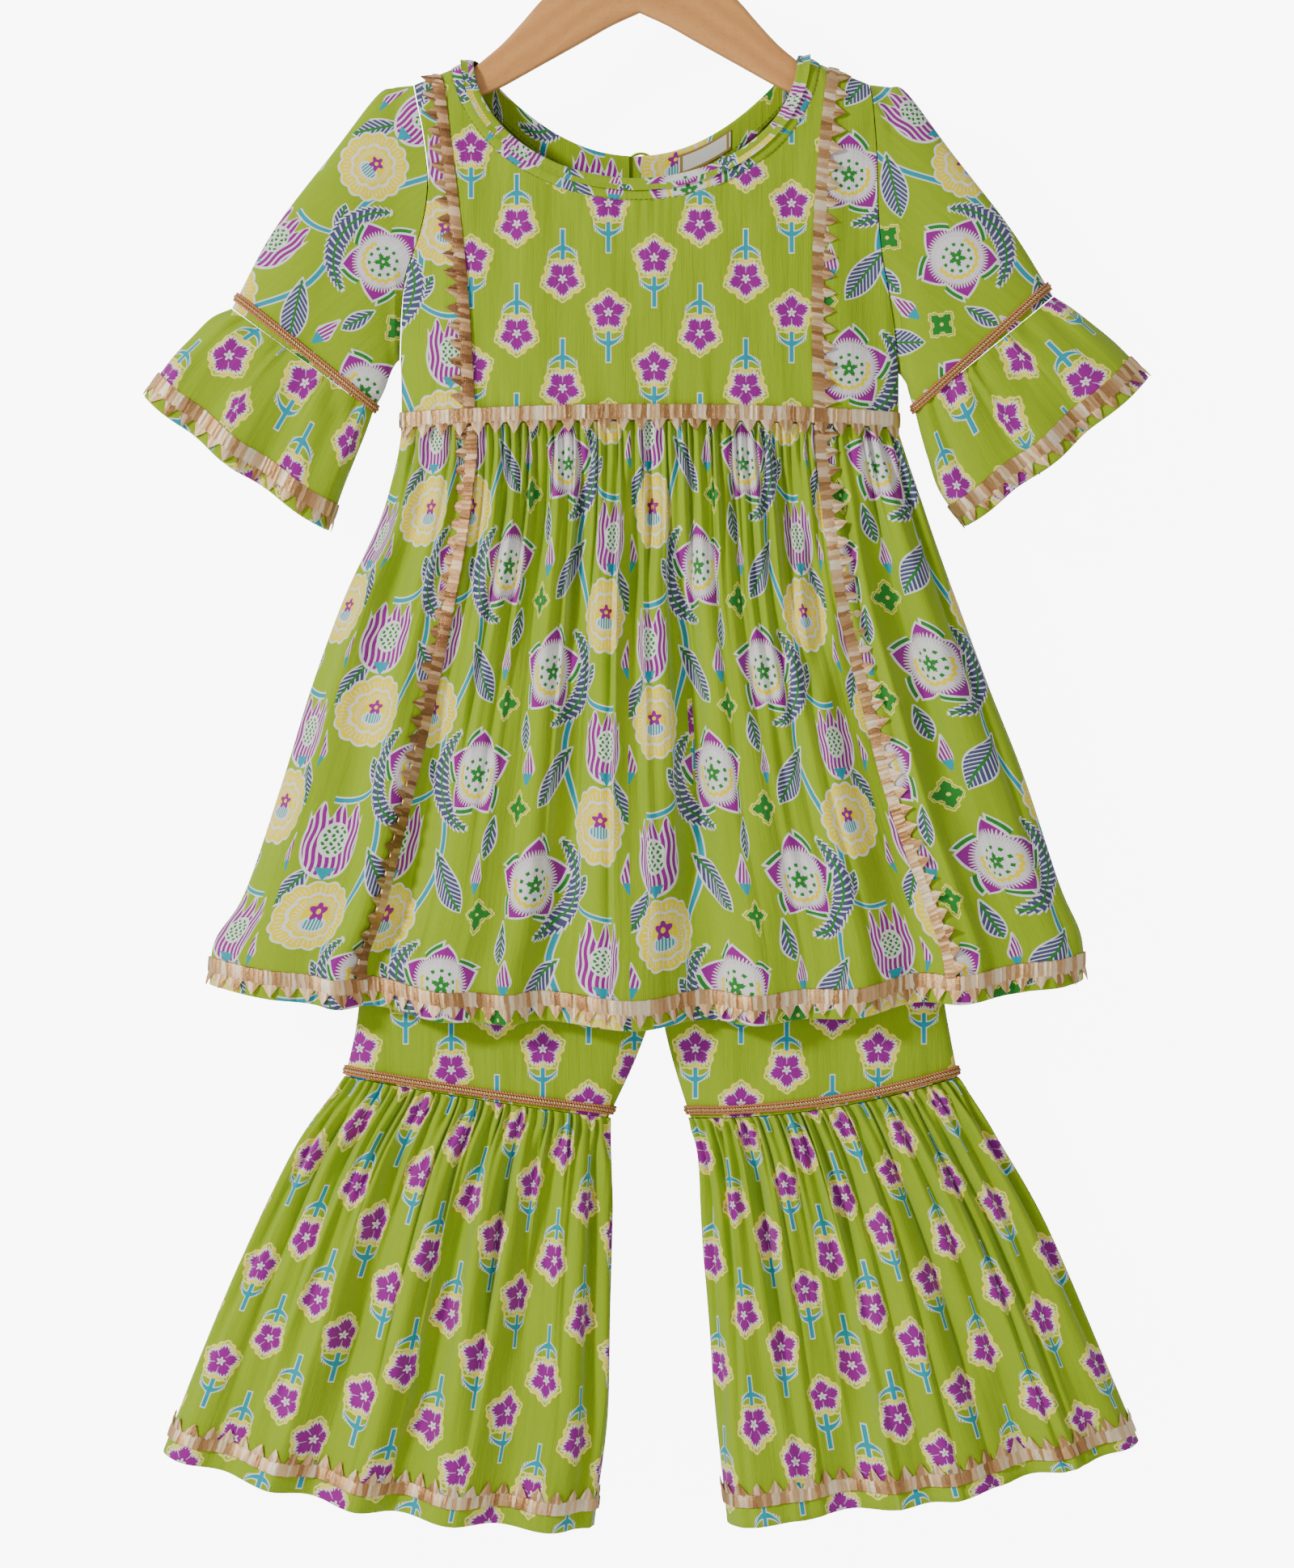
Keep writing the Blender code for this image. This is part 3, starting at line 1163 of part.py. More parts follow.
def gharara():
    """Waistband, upper legs and flares."""
    waistband()
    thigh("thigh_front_left", LEFT_THIGH, FRONT)
    thigh("thigh_front_right", RIGHT_THIGH, FRONT)
    thigh("thigh_back_left", LEFT_THIGH, BACK)
    thigh("thigh_back_right", RIGHT_THIGH, BACK)
    knee_piping("knee_piping_left", LEFT_THIGH)
    knee_piping("knee_piping_right", RIGHT_THIGH)
    flare("left", LEFT_FLARE_TIER, LEFT_FLARE_FOLDS, FLARE_GATHERS["left"])
    flare("right", RIGHT_FLARE_TIER, RIGHT_FLARE_FOLDS, FLARE_GATHERS["right"])


def hanger():
    """The wooden hanger, its hook, and the ribbons that carry the gharara."""
    hanger_arms()
    hanger_hook()
    hanger_loop("hanger_loop_left", -96.0, -84.0, 8.3)
    hanger_loop("hanger_loop_right", 96.0, 92.0, 8.3)


def main():
    clear_scene()
    kurta()
    gharara()
    hanger()


main()
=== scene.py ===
"""The looks of a child's gharara suit on its wooden hanger.

The tables and formulas of the cloth are in millimetres, as in the solids, and the meshes in metres.
Left and right are the picture's. A drop is measured down from the high point of the shoulder.
"""
import math
from collections import namedtuple

import bpy
import numpy as np
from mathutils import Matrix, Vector


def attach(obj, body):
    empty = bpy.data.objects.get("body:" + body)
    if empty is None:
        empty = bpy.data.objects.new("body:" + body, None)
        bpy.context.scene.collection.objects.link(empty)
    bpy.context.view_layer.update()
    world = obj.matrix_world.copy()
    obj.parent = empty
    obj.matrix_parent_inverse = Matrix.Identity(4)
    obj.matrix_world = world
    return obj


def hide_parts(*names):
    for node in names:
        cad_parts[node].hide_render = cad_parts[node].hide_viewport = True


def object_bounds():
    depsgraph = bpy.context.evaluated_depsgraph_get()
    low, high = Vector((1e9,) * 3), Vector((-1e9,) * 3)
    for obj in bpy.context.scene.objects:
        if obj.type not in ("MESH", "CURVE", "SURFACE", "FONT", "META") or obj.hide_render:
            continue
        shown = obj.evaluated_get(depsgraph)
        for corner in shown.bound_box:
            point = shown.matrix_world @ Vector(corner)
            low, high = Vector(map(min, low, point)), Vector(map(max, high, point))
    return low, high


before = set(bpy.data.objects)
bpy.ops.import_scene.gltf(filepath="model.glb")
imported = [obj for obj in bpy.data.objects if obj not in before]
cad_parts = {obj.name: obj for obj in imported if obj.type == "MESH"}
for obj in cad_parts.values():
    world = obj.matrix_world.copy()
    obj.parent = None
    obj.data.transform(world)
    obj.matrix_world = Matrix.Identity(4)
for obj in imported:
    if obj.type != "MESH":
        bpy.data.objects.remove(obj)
CAD_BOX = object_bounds()

MM = 0.001

# The part's own driving dimensions, in millimetres
HOOK_TO_SHOULDER = 125.0
SEAM = 0.3
ROUNDNESS = 2.8
SHOULDER_RADIUS = 9.0
WAIST_DROP = 200.0
WAIST_RISE = 4.0
NECK_CENTRE = -2.4
NECK_HALF_WIDTH = 87.3
FRONT_NECK_DEPTH = 66.4
BACK_NECK_DEPTH = 52.4
BAND_WIDTH = 11.5
FACING_WIDTH = 17.0
LACE_WIDTH = 8.7
PIPING_WIDTH = 4.6
HEM_LACE_GAP = 6.5
RUFFLE_LACE_GAP = 5.0
LEG_LACE_GAP = 8.0
HANGER_THICKNESS = 10.0
LOOP_WIDTH = 8.0
WAISTBAND_DROP = 305.0
WAISTBAND_HEIGHT = 25.0

FRONT = -1
BACK = 1

Level = namedtuple("Level", "drop centre half_width depth")
BODY = [
    Level(0.0, 0.0, 160.0, 9.4),
    Level(60.0, 1.5, 142.0, 12.4),
    Level(120.0, 3.8, 135.2, 14.6),
    Level(163.0, 5.0, 133.4, 15.6),
    Level(204.0, 5.4, 133.0, 16.5),
]

Line = namedtuple("Line", "drop x")
LEFT_ARMHOLE = [Line(15.2, -121.0), Line(24.0, -119.4), Line(40.0, -116.2), Line(53.0, -114.4),
                Line(65.0, -113.3), Line(80.0, -114.3), Line(95.5, -117.6), Line(108.0, -122.0),
                Line(119.4, -125.6), Line(140.0, -127.6), Line(165.0, -128.4)]
RIGHT_ARMHOLE = [Line(14.8, 122.8), Line(24.0, 124.5), Line(40.0, 126.0), Line(53.0, 126.8),
                 Line(65.0, 127.0), Line(80.0, 127.4), Line(95.5, 128.4), Line(108.0, 129.8),
                 Line(119.4, 131.6), Line(145.0, 135.9), Line(172.0, 138.4)]
LEFT_LACE = [Line(0.0, -110.0), Line(50.0, -103.5), Line(120.0, -95.5), Line(204.0, -90.3)]
RIGHT_LACE = [Line(0.0, 104.5), Line(56.0, 98.5), Line(100.0, 95.9), Line(143.0, 95.2),
              Line(204.0, 96.4)]

Section = namedtuple("Section", "left left_drop right right_drop depth bow")
SKIRT = [
    Section(-127.6, 200.3, 138.4, 200.3, 16.5, -4.0),
    Section(-130.4, 218.0, 144.0, 218.0, 17.5, -2.5),
    Section(-139.3, 249.6, 154.5, 250.0, 19.0, 0.0),
    Section(-158.4, 290.8, 169.5, 291.0, 21.0, 4.0),
    Section(-175.8, 338.0, 187.0, 338.0, 22.5, 8.0),
    Section(-191.4, 388.4, 206.0, 386.0, 24.0, 12.0),
    Section(-211.8, 448.3, 225.0, 444.0, 25.5, 17.0),
    Section(-227.9, 474.0, 236.5, 471.0, 26.5, 20.5),
    Section(-230.9, 497.4, 237.8, 494.3, 27.0, 23.0),
]
Crossing = namedtuple("Crossing", "left right")
SKIRT_LACES = [Crossing(0.140, 0.842), Crossing(0.147, 0.830), Crossing(0.157, 0.819),
               Crossing(0.174, 0.812), Crossing(0.176, 0.817), Crossing(0.170, 0.818),
               Crossing(0.166, 0.841), Crossing(0.170, 0.846), Crossing(0.177, 0.848)]
LEFT_FLARE = [
    Section(-158.4, 547.0, -15.6, 569.4, 13.0, 1.0),
    Section(-162.5, 553.4, -15.6, 577.0, 14.0, 2.0),
    Section(-184.9, 586.3, -15.6, 603.7, 16.0, 4.0),
    Section(-213.1, 645.8, -16.5, 664.0, 19.0, 7.0),
    Section(-233.9, 694.4, -17.8, 729.1, 22.0, 9.0),
    Section(-254.8, 746.9, -24.5, 788.0, 24.0, 11.0),
]
RIGHT_FLARE = [
    Section(26.0, 569.4, 170.8, 547.2, 13.0, 6.0),
    Section(28.2, 576.0, 175.0, 553.4, 14.0, 6.0),
    Section(33.0, 598.0, 188.4, 577.0, 16.0, 6.0),
    Section(36.9, 650.0, 216.6, 627.1, 19.0, 7.0),
    Section(41.2, 725.6, 250.9, 704.8, 22.0, 8.0),
    Section(46.9, 785.1, 266.7, 741.7, 24.0, 9.0),
]
LEFT_SLEEVE = [
    Section(-131.2, 16.4, -131.0, 165.0, 8.8, 0.0),
    Section(-141.0, 20.8, -133.0, 168.5, 9.4, 0.0),
    Section(-163.2, 49.5, -134.4, 172.0, 11.0, 0.0),
    Section(-196.2, 92.9, -137.4, 180.1, 12.0, 0.0),
    Section(-218.7, 135.0, -142.8, 190.1, 12.0, 0.0),
]
RIGHT_SLEEVE = [
    Section(141.0, 172.4, 133.2, 16.2, 8.8, 0.0),
    Section(143.0, 175.5, 143.2, 19.2, 9.4, 0.0),
    Section(144.2, 180.0, 167.1, 50.8, 11.0, 0.0),
    Section(145.8, 185.3, 199.2, 92.4, 12.0, 0.0),
    Section(147.3, 189.7, 221.8, 128.5, 12.0, 0.0),
]
LEFT_RUFFLE = [
    Section(-219.1, 135.3, -143.1, 190.5, 12.0, 0.0),
    Section(-229.6, 140.3, -147.1, 201.9, 13.0, 1.0),
    Section(-240.9, 151.6, -152.3, 214.7, 14.0, 2.0),
    Section(-251.7, 163.3, -159.3, 232.2, 15.0, 3.0),
    Section(-265.6, 181.8, -166.7, 253.9, 16.0, 3.0),
]
RIGHT_RUFFLE = [
    Section(147.7, 190.1, 222.2, 128.8, 12.0, 0.0),
    Section(150.6, 201.8, 231.8, 134.8, 13.0, 1.0),
    Section(154.5, 214.8, 242.6, 143.0, 14.0, 2.0),
    Section(161.0, 233.2, 256.5, 154.6, 15.0, 3.0),
    Section(174.3, 251.7, 273.0, 171.6, 16.0, 3.0),
]
Thigh = namedtuple("Thigh", "outer outer_drop inner inner_drop depth closing bow")
LEFT_THIGH = [
    Thigh(-97.0, 330.3, 4.0, 330.3, 12.0, 0.0, 0.0),
    Thigh(-118.0, 362.0, 4.8, 362.0, 12.5, 0.0, 0.0),
    Thigh(-138.0, 410.0, 6.2, 410.0, 13.0, 0.0, 0.0),
    Thigh(-148.0, 458.0, 7.6, 458.0, 13.0, 0.15, 0.0),
    Thigh(-149.5, 486.0, 8.0, 490.0, 13.0, 0.55, 0.0),
    Thigh(-150.4, 505.0, 7.6, 512.0, 13.0, 1.0, 0.0),
    Thigh(-152.8, 524.0, -1.2, 538.0, 13.0, 1.0, 0.5),
    Thigh(-158.0, 546.6, -15.6, 569.0, 13.0, 1.0, 1.0),
]
RIGHT_THIGH = [
    Thigh(105.0, 330.3, 4.0, 330.3, 12.0, 0.0, 0.0),
    Thigh(126.0, 362.0, 4.8, 362.0, 12.5, 0.0, 0.0),
    Thigh(147.0, 410.0, 6.2, 410.0, 13.0, 0.0, 0.0),
    Thigh(158.0, 458.0, 7.6, 458.0, 13.0, 0.15, 0.0),
    Thigh(161.0, 486.0, 9.6, 490.0, 13.0, 0.55, 0.0),
    Thigh(163.2, 505.0, 10.6, 512.0, 13.0, 1.0, 1.0),
    Thigh(166.4, 524.0, 16.4, 538.0, 13.0, 1.0, 3.0),
    Thigh(170.8, 546.8, 26.0, 569.0, 13.0, 1.0, 6.0),
]

# Large folds at each hem: place as a share of the width, height towards the outside
Fold = namedtuple("Fold", "place height")
SKIRT_FRONT_FOLDS = [
    Fold(0.0, 0.0), Fold(0.084, 5.0), Fold(0.130, 2.0), Fold(0.158, 6.0), Fold(0.200, -7.0),
    Fold(0.279, 7.0), Fold(0.316, 3.0), Fold(0.344, 5.0), Fold(0.385, -5.0), Fold(0.487, 8.0),
    Fold(0.566, -7.0), Fold(0.623, 6.0), Fold(0.672, 0.0), Fold(0.728, 6.0), Fold(0.797, -7.0),
    Fold(0.853, 6.0), Fold(0.908, 1.0), Fold(0.955, 5.0), Fold(1.0, 0.0),
]
SKIRT_BACK_FOLDS = [
    Fold(0.0, 0.0), Fold(0.07, 5.0), Fold(0.14, -4.0), Fold(0.22, 7.0), Fold(0.31, -6.0),
    Fold(0.40, 7.0), Fold(0.47, -3.0), Fold(0.56, 8.0), Fold(0.65, -6.0), Fold(0.74, 6.0),
    Fold(0.82, -5.0), Fold(0.91, 6.0), Fold(1.0, 0.0),
]
LEFT_FLARE_FOLDS = [
    Fold(0.0, 0.0), Fold(0.08, 5.0), Fold(0.17, -3.0), Fold(0.27, 5.0), Fold(0.36, -4.0),
    Fold(0.46, 6.0), Fold(0.55, -5.0), Fold(0.66, 6.0), Fold(0.76, -4.0), Fold(0.87, 6.0),
    Fold(0.95, 0.0), Fold(1.0, 0.0),
]
RIGHT_FLARE_FOLDS = [
    Fold(0.0, 0.0), Fold(0.10, 7.0), Fold(0.20, 2.0), Fold(0.31, -7.0), Fold(0.42, 4.0),
    Fold(0.48, 1.0), Fold(0.55, 7.0), Fold(0.64, 0.0), Fold(0.71, -5.0), Fold(0.80, 6.0),
    Fold(0.88, 1.0), Fold(0.93, 4.0), Fold(1.0, 0.0),
]
FLARE_BACK_FOLDS = [
    Fold(0.0, 0.0), Fold(0.12, 6.0), Fold(0.26, -5.0), Fold(0.41, 6.0), Fold(0.56, -5.0),
    Fold(0.72, 7.0), Fold(0.86, -3.0), Fold(0.94, 3.0), Fold(1.0, 0.0),
]
RUFFLE_FOLDS = [
    Fold(0.0, 0.0), Fold(0.14, 2.5), Fold(0.30, -2.5), Fold(0.47, 3.0), Fold(0.63, -2.5),
    Fold(0.82, 3.0), Fold(1.0, 0.0),
]
HEM_SAG = 0.35

# Deep folds that run a long way: place at their top and foot, share of the length, depth, width
Crease = namedtuple("Crease", "top foot start end depth width")
SKIRT_CREASES = [
    Crease(0.557, 0.546, 0.16, 0.96, 6.0, 9.0),
    Crease(0.397, 0.398, 0.40, 0.95, 5.0, 9.0),
    Crease(0.370, 0.402, 0.03, 0.42, 4.5, 6.0),
    Crease(0.489, 0.482, 0.02, 0.34, 4.0, 5.0),
    Crease(0.756, 0.693, 0.02, 0.44, 4.5, 6.0),
    Crease(0.783, 0.720, 0.12, 0.55, 4.0, 6.0),
    Crease(0.210, 0.203, 0.45, 1.00, 5.0, 10.0),
    Crease(0.290, 0.320, 0.03, 0.48, 3.5, 5.0),
    Crease(0.640, 0.668, 0.05, 0.62, 3.5, 6.0),
    Crease(0.880, 0.875, 0.10, 0.80, 4.0, 9.0),
    Crease(0.090, 0.115, 0.15, 0.85, 4.0, 8.0),
]
LEFT_FLARE_CREASES = [
    Crease(0.16, 0.17, 0.10, 0.75, 3.5, 6.0), Crease(0.34, 0.36, 0.05, 0.80, 4.0, 6.0),
    Crease(0.56, 0.55, 0.10, 0.95, 4.0, 7.0), Crease(0.78, 0.76, 0.05, 0.70, 4.0, 6.0),
    Crease(0.92, 0.94, 0.10, 0.95, 4.0, 6.0),
]
RIGHT_FLARE_CREASES = [
    Crease(0.47, 0.33, 0.14, 1.00, 6.0, 9.0), Crease(0.20, 0.22, 0.06, 0.75, 4.0, 6.0),
    Crease(0.62, 0.66, 0.08, 0.85, 4.0, 7.0), Crease(0.80, 0.84, 0.06, 0.70, 3.5, 6.0),
    Crease(0.08, 0.05, 0.08, 0.95, 3.5, 6.0),
]
BACK_CREASES = [Crease(0.25, 0.28, 0.05, 0.7, 4.0, 7.0), Crease(0.52, 0.50, 0.1, 0.9, 4.0, 8.0),
                Crease(0.75, 0.78, 0.05, 0.6, 4.0, 7.0)]

SKIRT_GATHERS = {"left": 5, "centre": 40, "right": 8, "back": 24}
FLARE_GATHERS = {"left": 33, "right": 35, "back": 12}
RUFFLE_GATHERS = {"front": 10, "back": 5}
GATHER_STEPS = 8

Arm = namedtuple("Arm", "x top underside")
HANGER = [Arm(0.0, -73.0, -101.6), Arm(15.0, -73.6, -108.5), Arm(30.0, -78.0, -117.0),
          Arm(42.0, -85.6, -123.7), Arm(53.0, -95.0, -129.8), Arm(63.0, -106.5, -135.4),
          Arm(74.0, -118.4, -141.4), Arm(84.0, -127.0, -146.0), Arm(89.5, -132.0, -148.4),
          Arm(91.5, -137.4, -149.2), Arm(101.0, -138.2, -152.0), Arm(107.0, -140.0, -153.0),
          Arm(112.0, -143.2, -152.0), Arm(114.0, -147.0, -148.6)]
HOOK_WIRE = 3.4
HOOK_RADIUS = 18.7

# The camera frames the photograph: metres across its width, and the middle of its view
VIEW_WIDTH = 0.6944
VIEW_CENTRE = (0.0039, -0.5153)
CAMERA_DISTANCE = 4.2
PHOTO_SIZE = (1600, 1939)
WALL_GAP = 0.010
WALL_GLOW = 8.0


# Colours

def colour(red, green, blue):
    """A linear colour from display values of 0 to 255."""
    def linear(value):
        value = value / 255.0
        return value / 12.92 if value <= 0.04045 else ((value + 0.055) / 1.055) ** 2.4
    return (linear(red), linear(green), linear(blue), 1.0)


LIME = colour(156, 186, 16)
LIME_DEEP = colour(130, 162, 6)
PURPLE = colour(150, 20, 142)
WHITE = colour(236, 236, 232)
CREAM = colour(252, 240, 124)
YELLOW = colour(254, 230, 16)
CYAN = colour(20, 158, 176)
NAVY = colour(74, 80, 122)
GREEN = colour(38, 132, 42)
LILAC = colour(205, 160, 205)


# Numbers worked out by a material

class Number:
    """A number that a material works out at each point, built from Math nodes."""

    def __init__(self, tree, value):
        self.tree = tree
        self.value = value

    def math(self, operation, *others):
        node = self.tree.nodes.new("ShaderNodeMath")
        node.operation = operation
        for index, item in enumerate((self,) + others):
            value = item.value if isinstance(item, Number) else item
            if isinstance(value, (int, float)):
                node.inputs[index].default_value = value
            else:
                self.tree.links.new(value, node.inputs[index])
        return Number(self.tree, node.outputs[0])

    def __add__(self, other):
        return self.math("ADD", other)

    def __radd__(self, other):
        return self.math("ADD", other)

    def __sub__(self, other):
        return self.math("SUBTRACT", other)

    def __rsub__(self, other):
        return Number(self.tree, other).math("SUBTRACT", self)

    def __mul__(self, other):
        return self.math("MULTIPLY", other)

    def __rmul__(self, other):
        return self.math("MULTIPLY", other)

    def __truediv__(self, other):
        return self.math("DIVIDE", other)

    def __neg__(self):
        return self.math("MULTIPLY", -1.0)

    def __abs__(self):
        return self.math("ABSOLUTE")

    def __lt__(self, other):
        return self.math("LESS_THAN", other)

    def __gt__(self, other):
        return self.math("GREATER_THAN", other)

    def __and__(self, other):
        return self.math("MULTIPLY", other)

    def __or__(self, other):
        return self.math("MAXIMUM", other)


def sine(number):
    return number.math("SINE")


def cosine(number):
    return number.math("COSINE")


def wrapped(number, low, high):
    return number.math("WRAP", high, low)


def power(number, exponent):
    return number.math("POWER", exponent)


def polar(x, y):
    """The distance from a motif's middle, and the angle round it from its top, in radians."""
    distance = power(x * x + y * y, 0.5)
    return distance, x.math("ARCTAN2", y)


def turned(x, y, degrees):
    """Coordinates along and across a direction."""
    cos, sin = math.cos(math.radians(degrees)), math.sin(math.radians(degrees))
    return x * cos + y * sin, y * cos - x * sin


class Paint:
    """Colours laid over each other where their masks are 1."""

    def __init__(self, tree, base):
        self.tree = tree
        self.socket = base

    def over(self, mask, tint):
        node = self.tree.nodes.new("ShaderNodeMix")
        node.data_type = "RGBA"
        self.tree.links.new(mask.value, node.inputs[0])
        if isinstance(self.socket, tuple):
            node.inputs[6].default_value = self.socket
        else:
            self.tree.links.new(self.socket, node.inputs[6])
        if isinstance(tint, tuple):
            node.inputs[7].default_value = tint
        else:
            self.tree.links.new(tint, node.inputs[7])
        self.socket = node.outputs[2]


def cloth_place(tree):
    """A point's place on the flat cloth, across and down, in millimetres."""
    place = tree.nodes.new("ShaderNodeUVMap")
    place.uv_map = "flat"
    split = tree.nodes.new("ShaderNodeSeparateXYZ")
    tree.links.new(place.outputs[0], split.inputs[0])
    return Number(tree, split.outputs[0]) * 1000.0, Number(tree, split.outputs[1]) * 1000.0


def noise(tree, x, y, detail=2.0):
    """Smooth random values about 0.5 over a plane."""
    join = tree.nodes.new("ShaderNodeCombineXYZ")
    for index, item in enumerate((x, y)):
        tree.links.new(item.value, join.inputs[index])
    node = tree.nodes.new("ShaderNodeTexNoise")
    node.inputs["Scale"].default_value = 1.0
    node.inputs["Detail"].default_value = detail
    tree.links.new(join.outputs[0], node.inputs["Vector"])
    return Number(tree, node.outputs[0])


# The small print: a flower on a short stem in every cell, each column half a step lower

BUTI_COLUMN = 24.5
BUTI_PERIOD = 58.7


def small_print(paint, across, down):
    column = (across / BUTI_COLUMN).math("FLOOR")
    odd = column.math("FLOORED_MODULO", 2.0)
    turn = abs(column.math("FLOORED_MODULO", 4.0) - 1.5) > 1.0
    x = across - (column + 0.5) * BUTI_COLUMN
    y = wrapped(down + odd * (BUTI_PERIOD / 2), -BUTI_PERIOD / 2, BUTI_PERIOD / 2)
    y = y * (turn * 2.0 - 1.0)
    side = abs(x)
    # Stem and leaves
    stem = (y > 0.0) & (y < 21.5)
    leaf = 7.6 + power(side, 2.0) * -0.10 + side * 0.15
    below_leaf = y - leaf - 3.2
    leaf_wide = 1.5 - side * 0.16
    paint.over((abs(below_leaf) < leaf_wide + 0.7) & (side < 8.2) & (y > 0.0), WHITE)
    fringe = (below_leaf > 0.0) & (below_leaf < side * 0.42) & (side < 8.0)
    paint.over(fringe & (sine(x * 5.2) > 0.0), WHITE)
    paint.over(stem & (side < 1.6), WHITE)
    paint.over((abs(below_leaf) < leaf_wide) & (side < 7.6), CYAN)
    paint.over(stem & (side < 1.05) & (y < 20.8), CYAN)
    # Flower
    distance, angle = polar(x, -(y + 5.6))
    lobes = cosine(angle * 5.0)
    outer = lobes * 1.1 + cosine(angle * 15.0) * 0.45 + 10.7
    ragged = sine(angle * 31.0) * 0.40 + sine(angle * 53.0 + 1.0) * 0.35
    petals = lobes * 1.15 + 7.7 + ragged * 1.3
    paint.over(distance < outer + 0.9, CREAM)
    paint.over((distance < outer - 0.2) & (distance > petals + 2.0), YELLOW)
    paint.over((distance < outer - 0.2) & (distance > petals + 2.0) & (lobes > 0.1), LIME)
    paint.over(distance < petals + 1.1, WHITE)
    paint.over(distance < petals, PURPLE)
    split = (lobes < -0.965) & (distance > 3.0) & (distance < petals)
    paint.over(split, LILAC)
    paint.over(distance < lobes * 0.7 + 1.9, WHITE)
    paint.over(distance < 0.6, LILAC)


# The large print: flowers, leaves and stems that climb in columns, each mirrored from the last

JAAL_COLUMN = 88.0
JAAL_PERIOD = 104.0


def leaf_shape(paint, x, y, half_length, half_width):
    """A pointed leaf with a green rib and white veins."""
    along = x / half_length
    width = (1.0 - along * along) * half_width * (1.0 - along * 0.3)
    side = abs(y)
    paint.over((side < width + 0.9) & (abs(along) < 1.06), WHITE)
    inside = (side < width) & (abs(along) < 1.0)
    paint.over(inside, NAVY)
    paint.over(inside & (sine((x + side * 1.2) * 2.1) > 0.62), WHITE)
    paint.over(inside & (side < 0.6), GREEN)


def stem_line(paint, distance, width):
    paint.over(abs(distance) < width + 0.8, WHITE)
    paint.over(abs(distance) < width, CYAN)


def bud_shape(paint, x, y):
    """A pointed bud that opens upwards, on its calyx."""
    rise = (y + 5.0) / 15.0
    width = power((rise * 3.0).math("MINIMUM", 1.0).math("MAXIMUM", 0.0), 0.5) * (1.0 - rise) * 5.6
    side = abs(x)
    paint.over((side < width + 0.9) & (abs(rise - 0.5) < 0.56), WHITE)
    paint.over((side < width) & (sine(x * 3.2 + y * 0.6) > -0.3), PURPLE)
    calyx = (y < -3.0) & (y > -8.5) & (side < (y + 8.5) * 0.5 + 0.8)
    paint.over(calyx, CYAN)


def white_flower(paint, x, y):
    distance, angle = polar(x, y)
    petal = wrapped(angle * (5.0 / (2 * math.pi)), -0.5, 0.5)
    reach = 22.0 - power(abs(petal) * 2.0, 0.8) * 7.0
    sepals = (petal > 0.10) & (distance < reach + 3.0)
    paint.over((petal > 0.06) & (distance < reach + 3.9), WHITE)
    paint.over(sepals, GREEN)
    paint.over(distance < reach + 0.9, WHITE)
    hatch = sine(angle * 62.0)
    tips = (distance > 15.2 + hatch * 1.5) & (distance < reach - 0.5)
    paint.over(tips, PURPLE)
    veins = (distance > 11.5) & (distance < 14.5) & (hatch > 0.86)
    paint.over(veins, LILAC)
    paint.over((abs(distance - 10.4 - cosine(angle * 18.0) * 0.5) < 1.0) & (cosine(angle) < 0.35), YELLOW)
    paint.over((abs(distance - 7.3) < 0.85) & (cosine(angle * 10.0) > 0.30), GREEN)
    paint.over(distance < cosine(angle * 5.0) * 1.2 + 3.6 + sine(angle * 23.0) * 0.4, GREEN)
    paint.over(distance < 0.8, WHITE)
    return distance, angle


def yellow_flower(paint, x, y):
    distance, angle = polar(x, y)
    scallops = abs(sine(angle * 7.0)) * 1.6
    paint.over(distance < scallops + 17.6, WHITE)
    rays = cosine(angle * 44.0) > 0.80
    paint.over(distance < scallops + 16.4, YELLOW)
    paint.over((distance > 12.6) & (distance < 16.0) & rays, WHITE)
    inner = abs(sine(angle * 5.0 + 0.5)) * 1.4
    paint.over(abs(distance - inner - 10.4) < 0.8, WHITE)
    paint.over((distance > 6.2) & (distance < 9.2) & (cosine(angle * 40.0) > 0.6), WHITE)
    low = y + 3.4
    oval = power(x * x / 20.0 + low * low / 9.0, 0.5)
    paint.over(oval < 1.3, WHITE)
    paint.over((oval < 1.0) & (sine(x * 4.4) > -0.25), CYAN)
    high = y - 2.2
    crown, turn = polar(x, high)
    paint.over(crown < cosine(turn * 5.0) * 0.9 + 3.2, PURPLE)
    paint.over(crown < 1.0, YELLOW)


def striped_blossom(paint, x, y):
    """A blossom like a pomegranate's, with its seeds showing."""
    flames = power(abs(cosine(x * 0.42)), 1.6) * 8.0 + 8.0
    bowl = power(x * x / 150.0 + (y + 3.0) * (y + 3.0) / 250.0, 0.5)
    inside = ((bowl < 1.0) | ((abs(x) < 11.5) & (y > -2.0))) & (y < flames)
    edge = ((bowl < 1.1) | ((abs(x) < 12.6) & (y > -2.0))) & (y < flames + 1.2)
    paint.over(edge, WHITE)
    stripes = sine(x * 2.3 + sine(y * 0.35) * 1.3) > -0.35
    paint.over(inside & stripes, PURPLE)
    seeds = power(x * x / 30.0 + (y + 1.0) * (y + 1.0) / 52.0, 0.5)
    paint.over(seeds < 1.15, WHITE)
    dots = (sine(x * 1.9 + sine(y * 1.3) * 0.8) * sine(y * 1.6)) > 0.22
    paint.over((seeds < 1.0) & dots, GREEN)
    cup = (y < -14.5) & (y > -20.5) & (abs(x) < (y + 21.0) * 0.7)
    paint.over(cup, CYAN)


def quatrefoil(paint, x, y):
    distance, angle = polar(x, y)
    edge = cosine(angle * 4.0) * 1.5 + 5.4 + cosine(angle * 16.0) * 0.3
    paint.over(distance < edge + 2.0, CREAM)
    paint.over((distance < edge + 1.2) & (distance > edge + 0.5), LIME)
    paint.over(distance < edge, GREEN)
    paint.over(distance < 1.0, CREAM)


